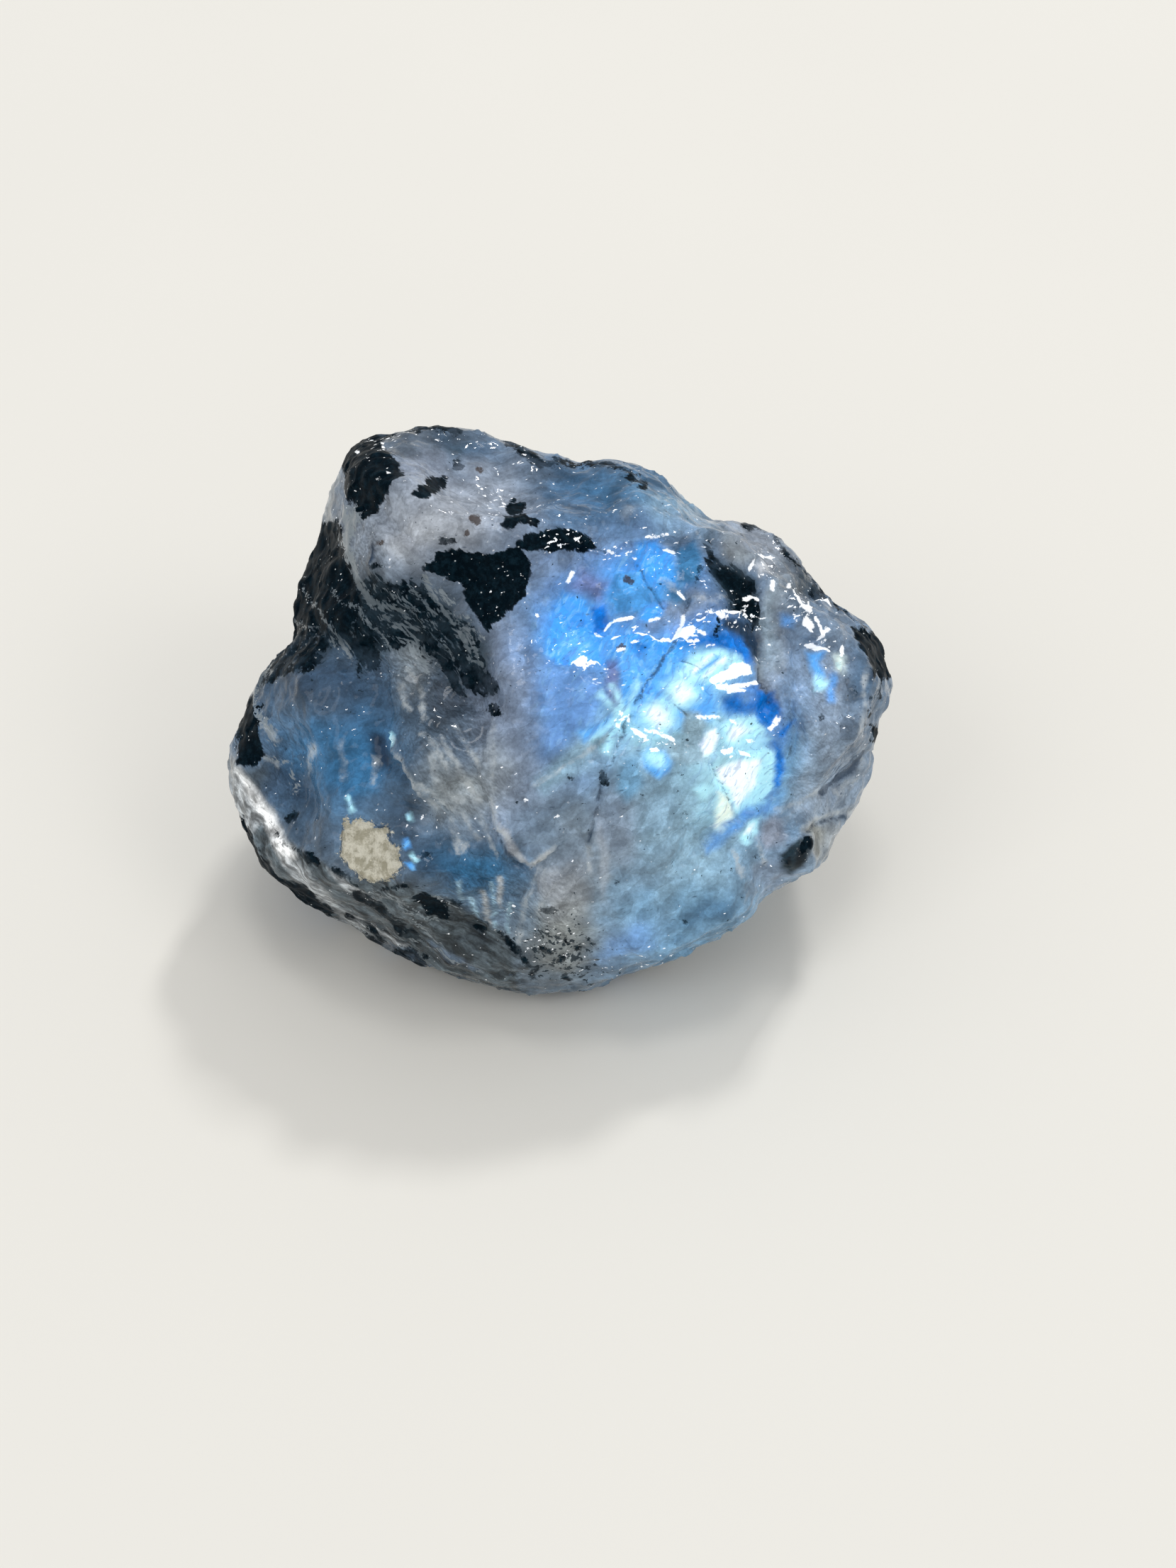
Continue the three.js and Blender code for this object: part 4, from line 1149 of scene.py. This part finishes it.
class Finish:
    """Builds one material's nodes. Sizes are in millimetres and turns in degrees."""

    def __init__(self, name):
        self.material = bpy.data.materials.new(name)
        self.material.use_nodes = True
        self.nodes = self.material.node_tree.nodes
        self.links = self.material.node_tree.links
        self.nodes.clear()
        self.here = self.node("ShaderNodeTexCoord").outputs["Object"]

    def node(self, kind, settings=(), **inputs):
        """Adds a node. An input is a number, a colour or another node's socket, and is named
        as in the node or by its place, such as _0."""
        made = self.nodes.new(kind)
        for name, value in dict(settings).items():
            setattr(made, name, value)
        for name, value in inputs.items():
            self.feed(made.inputs[int(name[1:])] if name[0] == "_" else made.inputs[name], value)
        return made

    def feed(self, socket, value):
        if isinstance(value, bpy.types.NodeSocket):
            self.links.new(value, socket)
        elif socket.type == "RGBA" and len(value) == 3:
            socket.default_value = (*value, 1)
        else:
            socket.default_value = value

    def surface(self, **inputs):
        """Ends the material with its shader, from the shader's inputs by name."""
        shader = self.node("ShaderNodeBsdfPrincipled", (), **inputs)
        self.node("ShaderNodeOutputMaterial", (), Surface=shader.outputs[0])
        return self.material

    def zone(self, name, output="Fac"):
        """What the mesh stores under that name."""
        return self.node("ShaderNodeAttribute", {"attribute_name": name}).outputs[output]

    def maths(self, operation, a, b):
        return self.node("ShaderNodeMath", {"operation": operation}, _0=a, _1=b).outputs[0]

    def product(self, first, *others):
        for other in others:
            first = self.maths("MULTIPLY", first, other)
        return first

    def vector(self, operation, a, b):
        made = self.node("ShaderNodeVectorMath", {"operation": operation}, _0=a)
        self.feed(made.inputs["Scale"] if operation == "SCALE" else made.inputs[1], b)
        return made.outputs["Value" if operation == "DOT_PRODUCT" else "Vector"]

    def ramp(self, value, low, high, start=0.0, end=1.0):
        """Start up to low, end from high, with a smooth climb between."""
        settings = {"interpolation_type": "SMOOTHSTEP", "clamp": True}
        spread = {"From Min": low, "From Max": high, "To Min": start, "To Max": end}
        return self.node("ShaderNodeMapRange", settings, Value=value, **spread).outputs[0]

    def mix(self, share, a, b):
        """Colour a turned into colour b by the share."""
        settings = {"data_type": "RGBA", "clamp_factor": True}
        return self.node("ShaderNodeMix", settings, _0=share, _6=a, _7=b).outputs[2]

    def blend(self, share, a, b):
        """Number a turned into number b by the share."""
        settings = {"data_type": "FLOAT", "clamp_factor": True}
        return self.node("ShaderNodeMix", settings, _0=share, _2=a, _3=b).outputs[0]

    def noise(self, places, size, detail, rough=0.55):
        """Cloudy noise with lumps of that size, from 0 to 1."""
        spread = {"Scale": 1 / (size * MM), "Detail": detail, "Roughness": rough}
        return self.node("ShaderNodeTexNoise", (), Vector=places, **spread).outputs[0]

    def laid(self, places, turn, length, width):
        """Places counted along the display face in lengths and widths, with the length
        turned up from the right."""
        axes = Matrix.Rotation(FACE_LEAN, 3, "X") @ Matrix.Rotation(math.radians(turn), 3, "Z")
        size = (length * MM, width * MM, width * MM)
        spread = {"Vector": places, "Rotation": axes.to_euler(), "Scale": size}
        return self.node("ShaderNodeMapping", {"vector_type": "TEXTURE"}, **spread).outputs[0]

    def streaks(self, places, turn, length, width):
        drawn = self.laid(places, turn, length, width)
        return self.node("ShaderNodeTexNoise", (), Vector=drawn, Scale=1, Detail=4).outputs[0]

    def cells(self, places, turn, length, width):
        """A pattern of cells and their numbers: the places in it, the pattern node, and three
        sockets with a number from 0 to 1 for each cell."""
        drawn = self.laid(places, turn, length, width)
        found = self.node("ShaderNodeTexVoronoi", (), Vector=drawn, Scale=1)
        numbers = self.node("ShaderNodeSeparateColor", (), Color=found.outputs["Color"])
        return drawn, found, numbers.outputs

    def flakes(self, places, turn, length, width):
        """Flat cleavage flakes, each tilted its own way: their heights, and a number for
        each flake from 0 to 1."""
        drawn, found, numbers = self.cells(places, turn, length, width)
        tilt = self.vector("SUBTRACT", found.outputs["Color"], (0.5, 0.5, 0.5))
        apart = self.vector("SUBTRACT", drawn, found.outputs["Position"])
        return self.vector("DOT_PRODUCT", tilt, apart), numbers[1]

    def specks(self, places, length, width, radius, share, turn=0):
        """Dots, or dashes where length and width differ, one to a cell of that size and
        kept in only a share of the cells. The radius is a part of the cell's size."""
        _, found, numbers = self.cells(places, turn, length, width)
        dot = self.ramp(found.outputs["Distance"], radius, 0.4 * radius)
        return self.product(dot, self.maths("LESS_THAN", numbers[0], share))

    def warped(self, places, size, reach):
        """Places pushed about by noise, so that patterns on them look natural."""
        cloud = self.node("ShaderNodeTexNoise", (), Vector=places, Scale=1 / (size * MM))
        centred = self.vector("SUBTRACT", cloud.outputs["Color"], (0.5, 0.5, 0.5))
        return self.vector("ADD", places, self.vector("SCALE", centred, reach * MM))

    def bump(self, height, depth, under=None, strength=1.0):
        """A bump of that depth over the normal under it."""
        made = self.node("ShaderNodeBump", (), Height=height, Distance=depth * MM, Strength=strength)
        if under is not None:
            self.feed(made.inputs["Normal"], under)
        return made.outputs[0]


class StoneFinish(Finish):
    """Wet-looking feldspar with its flash, tourmaline, veins, rust and crust. Each step lays
    its marks over the base colour that it is given."""

    def __init__(self, colours):
        super().__init__("moonstone")
        self.colours = colours
        self.loose = self.warped(self.here, 1.6, 0.9)
        self.bent = self.warped(self.here, 0.9, 0.3)
        self.cloud = self.noise(self.here, 1.4, 4, 0.6)
        self.grain = self.noise(self.here, 0.22, 4, 0.7)
        self.crumbs = self.noise(self.here, 0.7, 5, 0.7)
        self.large_rise, self.large = self.flakes(self.bent, 55, 1.7, 0.9)
        self.small_rise, self.small = self.flakes(self.bent, 20, 0.7, 0.36)
        steep = self.streaks(self.loose, 64, 2.4, 0.3)
        level = self.streaks(self.loose, 14, 2.2, 0.26)
        turning = self.ramp(self.noise(self.here, 7, 1), 0.42, 0.58)
        self.streak = self.blend(turning, steep, level)
        long_fibre = self.streaks(self.loose, -56, 3.2, 0.13)
        short_fibre = self.streaks(self.loose, -24, 1.4, 0.2)
        self.fibre = self.blend(self.crumbs, long_fibre, short_fibre)
        self.crumple = self.zone("crumple")
        self.glow = self.zone("glow")
        self.lit = self.ramp(self.glow, 0.02, 0.22)
        fray = self.maths("SUBTRACT", self.noise(self.here, 0.45, 6, 0.8), 0.5)
        self.fray = self.maths("MULTIPLY", fray, 0.9)
        brushed = self.product(self.maths("SUBTRACT", self.fibre, 0.5), 1.6)
        self.vein = self.ramp(self.maths("ADD", self.zone("vein"), brushed), -0.02, 0.14)
        self.crust = self.drawn("crust", ragged=2.2)

    def drawn(self, zone, low=-0.06, high=0.06, ragged=1.0):
        """1 inside a drawn marking and 0 outside it, with its edge frayed by noise."""
        frayed = self.maths("ADD", self.zone(zone), self.maths("MULTIPLY", self.fray, ragged))
        return self.ramp(frayed, low, high)

    def stain(self, base, share, strength, colour):
        """The base with a named colour laid over it by a share."""
        return self.mix(self.product(share, strength), base, self.colours[colour])

    def feldspar(self):
        """Cloudy, grained and streaked along its cleavage, with combed and ribbed parts."""
        shine = self.product(
            self.ramp(self.cloud, 0.3, 0.7, 0.72, 1.28),
            self.ramp(self.grain, 0.3, 0.7, 0.87, 1.13),
            self.ramp(self.streak, 0.3, 0.7, 0.93, 1.07),
            self.ramp(self.large, 0, 1, 0.86, 1.14),
            self.ramp(self.small, 0, 1, 0.92, 1.1),
        )
        combed = self.blend(self.zone("fibre"), 1.0, self.ramp(self.fibre, 0.38, 0.62, 0.62, 1.4))
        rib_turn = -36
        wide_ribs = self.ramp(self.streaks(self.loose, rib_turn, 2.2, 0.5), 0.36, 0.62, 0.5, 1.5)
        fine_ribs = self.streaks(self.loose, rib_turn, 1.8, 0.16)
        fine_ribs = self.ramp(fine_ribs, 0.36, 0.66, 0.82, 1.25)
        ribbed = self.blend(self.zone("wood"), 1.0, self.product(wide_ribs, fine_ribs))
        # Where the flash glows, the tone is evened out and brightened a little, as part of its painted
        # sheen.
        shine = self.blend(self.product(self.lit, 0.85), self.product(shine, combed, ribbed), 1.04)
        return self.vector("SCALE", self.zone("tone", "Color"), shine)

    def with_rays(self, base):
        """Brighter and deeper rays through the flash, part of its painted sheen."""
        rays = self.streaks(self.loose, 62, 2.2, 0.32)
        threads = self.streaks(self.bent, 38, 1.2, 0.13)
        for pattern, low, high, strength, colour in (
            (rays, 0.52, 0.66, 0.32, "cyan"),
            (rays, 0.46, 0.36, 0.36, "bruise"),
            (threads, 0.4, 0.3, 0.4, "slate"),
        ):
            share = self.product(self.lit, self.ramp(pattern, low, high))
            base = self.stain(base, share, strength, colour)
        return base

    def with_marks(self, base):
        """Feathers and cracks, dark pits and dashes, and bright ticks and sparks of painted highlight
        where it is crumpled.
        """
        feather = self.drawn("feather", -0.22, 0.16, 0.9)
        feather = self.product(feather, self.ramp(self.cloud, 0.35, 0.65, 0.1, 0.7))
        # Ticks and sparks are painted highlights, tiny white glints.
        ticks = self.specks(self.bent, 1.1, 0.7, 0.09, 0.3, 30)
        ticks = self.product(ticks, self.maths("ADD", self.crumple, 0.3))
        sparks = self.specks(self.bent, 0.75, 0.5, 0.13, 0.22, 40)
        sparks = self.product(sparks, self.ramp(self.crumple, 0.1, 0.6, 0.0, 0.8))
        for share, strength, colour in (
            (feather, 1.0, "feather"),
            (self.drawn("crack", -0.08, 0.1, 0.6), 0.75, "crack"),
            (self.specks(self.loose, 1.2, 1.0, 0.08, 0.3), 0.8, "crack"),
            (self.specks(self.bent, 1.5, 0.45, 0.15, 0.3, 12), 0.55, "crack"),
            (ticks, 0.8, "painted_glint"),
            (sparks, 0.75, "painted_glint"),
            (self.vein, 0.82, "vein"),
        ):
            base = self.stain(base, share, strength, colour)
        return base

    def with_tourmaline(self, base):
        """Solid patches, streaky broken ones and needles, crossed by the veins. Also gives
        where it is black."""
        hatch = self.streaks(self.loose, -48, 2.6, 0.24)
        shards = self.blend(0.4, hatch, self.noise(self.here, 0.9, 5, 0.7))
        shards = self.maths("SUBTRACT", shards, 0.47)
        patches = self.zone("black")
        solid = self.maths("ADD", patches, self.product(shards, 1.1))
        broken = self.maths("MINIMUM", self.zone("broken"), 0.16)
        broken = self.maths("ADD", broken, self.product(shards, 2.4))
        depth = self.maths("MAXIMUM", solid, broken)
        depth = self.ramp(self.maths("SUBTRACT", depth, self.product(self.vein, 3.0)), -0.05, 0.08)
        black = self.maths("MAXIMUM", depth, self.drawn("needle", ragged=1.3))

        sheen = self.ramp(self.noise(self.here, 0.4, 5, 0.75), 0.42, 0.7)
        tourmaline = self.mix(sheen, self.colours["tourmaline"], self.colours["tourmaline_edge"])
        # The sparkle is painted highlight: pale specks in the feather colour.
        sparkle = self.specks(self.here, 0.42, 0.36, 0.17, 0.24, 20)
        tourmaline = self.stain(tourmaline, sparkle, 0.8, "feather")

        # Round the broken parts the feldspar is smoky, and it shows through them in places.
        smoke = self.ramp(self.maths("ADD", self.zone("broken"), shards), -0.5, 0.2)
        base = self.stain(base, smoke, 0.55, "murk")
        thin = self.ramp(self.noise(self.here, 1.1, 4, 0.6), 0.4, 0.62, 0.0, 0.38)
        thin = self.product(thin, self.ramp(patches, 0.1, -0.2))
        cover = self.product(black, self.maths("SUBTRACT", 1.0, thin))
        return self.mix(cover, base, tourmaline), black

    def painted_glints(self):
        """Painted highlights: the drawn glints, and flecks where broken edges glitter."""
        flecks = self.streaks(self.bent, 18, 0.5, 0.26)
        flecks = self.maths("ADD", flecks, self.product(self.zone("glitter"), 0.19))
        glints = self.drawn("glint", -0.05, 0.01, 0.45)
        return self.maths("MAXIMUM", glints, self.ramp(flecks, 0.72, 0.735))

    def with_pepper(self, base):
        """Peppery ground at the foot of the face."""
        pepper = self.noise(self.warped(self.here, 0.5, 0.25), 0.42, 3, 0.6)
        pepper = self.maths("ADD", pepper, self.product(self.zone("speckle"), 0.17))
        return self.stain(base, self.ramp(pepper, 0.7, 0.73), 0.9, "tourmaline_edge")

    def with_crust(self, base):
        """The chalky crust, with painted shade in its hollows."""
        low, high = self.colours["crust_low"], self.colours["crust"]
        return self.mix(self.crust, base, self.mix(self.ramp(self.crumbs, 0.38, 0.6), low, high))

    def roughness(self, black):
        """Smooth and wet, duller on the tourmaline and chalky on the crust."""
        rough = self.blend(black, self.ramp(self.cloud, 0.3, 0.7, 0.04, 0.1), 0.42)
        return self.blend(self.crust, rough, 0.85)

    def fine_relief(self):
        """Flakes, grain and crumbs too fine for the mesh. A bump works its height out three
        times, so the heights take the stored zones and not their frayed edges."""
        calm = self.ramp(self.zone("black"), -0.1, 0.1, 1.0, 0.4)
        large = self.product(self.large_rise, calm, self.maths("ADD", self.crumple, 0.15))
        small = self.product(self.small_rise, calm, self.maths("ADD", self.crumple, 0.1))
        crumbs = self.product(self.crumbs, self.ramp(self.zone("crust"), -0.06, 0.06))
        normal = self.bump(small, 0.13, self.bump(large, 0.36))
        normal = self.bump(self.grain, 0.012, normal, 0.5)
        return self.bump(crumbs, 0.4, normal, 0.9)

    def shine(self, painted_glint, bare):
        """Painted glow: emission for the flash, streak by streak, and for the glints."""
        glow = self.product(self.glow, self.ramp(self.streak, 0.32, 0.66, 0.75, 1.2))
        glow = self.maths("ADD", glow, self.product(painted_glint, 0.45))
        return self.product(glow, self.maths("MAXIMUM", bare, painted_glint))

    def finished(self):
        """The stone's material, with all its steps."""
        base = self.with_marks(self.with_rays(self.feldspar()))
        base, black = self.with_tourmaline(base)
        base = self.stain(base, self.drawn("rust"), 0.85, "rust")
        painted_glint = self.painted_glints()
        # The glints and flecks are painted highlights in white.
        base = self.stain(base, painted_glint, 0.85, "painted_glint")
        base = self.with_crust(self.with_pepper(base))
        bare = self.maths("SUBTRACT", 1.0, self.maths("MAXIMUM", black, self.crust))
        # The glow is weak beside the lamps, so it isn't sampled as one.
        self.material.cycles.emission_sampling = "NONE"
        return self.surface(**{
            "Base Color": base,
            "Roughness": self.roughness(black),
            "Normal": self.fine_relief(),
            # The emission is a painted glow for the flash and the glints.
            "Emission Color": base,
            "Emission Strength": self.shine(painted_glint, bare),
            "Coat Weight": self.product(bare, 0.3),
            "Coat Roughness": 0.05,
            "IOR": 1.53,
            "Specular IOR Level": 0.03,
        })


def floor_finish(colour):
    """Pale matte paper with a trace of grain."""
    paper = Finish("pale_floor")
    lighter = tuple(min(1, c * 1.04) for c in colour)
    base = paper.mix(paper.noise(paper.here, 60, 2), colour, lighter)
    return paper.surface(**{"Base Color": base, "Roughness": 0.8, "Specular IOR Level": 0.2})


# ---- Settings, operators and panel ------------------------------------------------------


def colour_setting(name, description, code):
    return FloatVectorProperty(
        name=name, description=description, subtype="COLOR", size=3, min=0, max=1, default=shade(code)
    )


class MoonstoneShape(bpy.types.PropertyGroup):
    """Sizes of the relief that the visual mesh adds to the solid."""

    rounding: IntProperty(
        name="Rounding", description="Smoothing rounds over the solid's triangles", default=7, min=0
    )
    scallop_depth: FloatProperty(
        name="Scallop depth", description="Depth of the shell-shaped hollows", default=0.34 * MM,
        unit="LENGTH",
    )
    facet_height: FloatProperty(
        name="Facet height", description="Height of the tilted break facets", default=0.3 * MM,
        unit="LENGTH",
    )


class MoonstoneColours(bpy.types.PropertyGroup):
    """Colours of the stone's inclusions. The feldspar's own tones are in TONES."""

    tourmaline: colour_setting("Tourmaline", "Black tourmaline", "000d16")
    tourmaline_edge: colour_setting("Tourmaline sheen", "Lighter parts of the tourmaline", "0f242f")
    vein: colour_setting("Veins", "Pale veins through the dark parts", "8b959b")
    # The feather colour also paints the tourmaline's sparkle, a painted highlight.
    feather: colour_setting("Feathers", "Pale feathers in the feldspar", "ccd3d5")
    # The fresh edges' colour is painted highlight: the glints, ticks and sparks.
    painted_glint: colour_setting("Fresh edges", "Fresh fracture edges", "f4f7fa")
    crack: colour_setting("Cracks", "Dark cracks", "2c4056")
    rust: colour_setting("Rust", "Brown iron spots", "3f3128")
    crust: colour_setting("Crust", "Chalky crust", "e0dccb")
    # The crust's hollows get painted shade.
    crust_low: colour_setting("Crust hollows", "Hollows of the crust", "aca793")


class MoonstoneStage(bpy.types.PropertyGroup):
    """Floor and camera."""

    floor_colour: colour_setting("Floor", "Pale floor", "e8e5dd")
    lens: FloatProperty(name="Lens", description="Focal length, mm", default=54.07, unit="CAMERA")


def palette(settings):
    """All tones by name, in linear colour."""
    tones = {name: shade(code) for name, code in TONES.items()}
    for name in MoonstoneColours.__annotations__:
        tones[name] = tuple(getattr(settings, name))
    return tones


class MOONSTONE_OT_stone(bpy.types.Operator):
    """Make the moonstone's visual mesh and finish in place of its solid"""

    bl_idname = "moonstone.stone"
    bl_label = "Moonstone"

    def execute(self, context):
        colours = palette(context.scene.moonstone_colours)
        stone = new_stone("moonstone", context.scene.moonstone_shape, colours)
        stone.data.materials.append(StoneFinish(colours).finished())
        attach(stone, "root")
        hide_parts("moonstone")
        return {"FINISHED"}


class MOONSTONE_OT_stage(bpy.types.Operator):
    """Lay the floor, hang the lights and place the camera"""

    bl_idname = "moonstone.stage"
    bl_label = "Stage"

    def execute(self, context):
        stage = context.scene.moonstone_stage
        floor = new_floor(stage)
        hang_lights()
        place_camera(stage)
        return {"FINISHED"}


# ---- The stage --------------------------------------------------------------------------

FLOOR_RADIUS = 4
FLOOR_CORNERS = 96

# The lamps, all aimed at the stone: name, place and width in metres, power in watts, colour.
LAMPS = [
    ("key", (0.5, 0.9, 1.3), 0.16, 7, (1, 1, 1)),
    ("left_front", (-1.0, -0.9, 1.3), 0.8, 4, (0.97, 0.98, 1)),
    ("right_front", (1.1, -0.7, 1.3), 0.7, 4, (1, 1, 1)),
    ("overhead", (0, 0.1, 1.9), 0.4, 3.8, (1, 1, 1)),
]
LAMP_TARGET = Vector((0, 0, 0.014))
ROOM_COLOUR = (0.93, 0.94, 0.96, 1)
ROOM_LIGHT = 0.63

SENSOR_WIDTH = 36
NEAREST_SEEN = 0.005


def new_floor(stage):
    form = bmesh.new()
    bmesh.ops.create_circle(form, cap_ends=True, segments=FLOOR_CORNERS, radius=FLOOR_RADIUS)
    mesh = bpy.data.meshes.new("floor")
    form.to_mesh(mesh)
    form.free()
    mesh.materials.append(floor_finish(tuple(stage.floor_colour)))
    floor = bpy.data.objects.new("floor", mesh)
    bpy.context.scene.collection.objects.link(floor)
    return floor


def hang_lights():
    """Hangs the lamps as square softboxes and lights the room."""
    for name, place, width, power, colour in LAMPS:
        light = bpy.data.lights.new(name, "AREA")
        light.shape = "SQUARE"
        light.size = width
        light.energy = power
        light.color = colour
        lamp = bpy.data.objects.new(name, light)
        lamp.location = place
        lamp.rotation_euler = (LAMP_TARGET - Vector(place)).to_track_quat("-Z", "Y").to_euler()
        bpy.context.scene.collection.objects.link(lamp)
    room = bpy.data.worlds.new("studio")
    room.use_nodes = True
    background = room.node_tree.nodes["Background"]
    background.inputs[0].default_value = ROOM_COLOUR
    background.inputs[1].default_value = ROOM_LIGHT
    bpy.context.scene.world = room
    bpy.context.scene.view_settings.view_transform = "Standard"


def place_camera(stage):
    """The camera looks straight at the display face from where it is drawn from."""
    right, up, out = (Vector(axis) for axis in (FACE_RIGHT, FACE_UP, FACE_OUT))
    centre = Vector((0, 0, FACE_CENTRE_HEIGHT * MM))
    across, rise, distance = DRAWN_FROM
    lens = bpy.data.cameras.new("camera")
    lens.lens = stage.lens
    lens.sensor_width = SENSOR_WIDTH
    lens.clip_start = NEAREST_SEEN
    camera = bpy.data.objects.new("camera", lens)
    camera.location = centre + (across * right + rise * up + distance * out) * MM
    camera.rotation_euler = (math.pi / 2 - FACE_LEAN, 0, 0)
    bpy.context.scene.collection.objects.link(camera)
    bpy.context.scene.camera = camera


# ---- The add-on -------------------------------------------------------------------------


class MOONSTONE_PT_panel(bpy.types.Panel):
    """The moonstone's settings and steps"""

    bl_idname = "MOONSTONE_PT_panel"
    bl_label = "Moonstone"
    bl_space_type = "VIEW_3D"
    bl_region_type = "UI"
    bl_category = "Moonstone"

    def draw(self, context):
        layout = self.layout
        for group in SETTINGS:
            settings = getattr(context.scene, group)
            box = layout.box()
            for name in settings.__annotations__:
                box.prop(settings, name)
        for step in (MOONSTONE_OT_stone, MOONSTONE_OT_stage):
            layout.operator(step.bl_idname)


SETTINGS = {
    "moonstone_shape": MoonstoneShape,
    "moonstone_colours": MoonstoneColours,
    "moonstone_stage": MoonstoneStage,
}
CLASSES = (*SETTINGS.values(), MOONSTONE_OT_stone, MOONSTONE_OT_stage, MOONSTONE_PT_panel)


def register():
    for made in CLASSES:
        bpy.utils.register_class(made)
    for name, group in SETTINGS.items():
        setattr(bpy.types.Scene, name, PointerProperty(type=group))


def unregister():
    for name in SETTINGS:
        delattr(bpy.types.Scene, name)
    for made in reversed(CLASSES):
        bpy.utils.unregister_class(made)


def main():
    register()
    bpy.ops.moonstone.stone()
    bpy.ops.moonstone.stage()


if __name__ == "__main__":
    main()
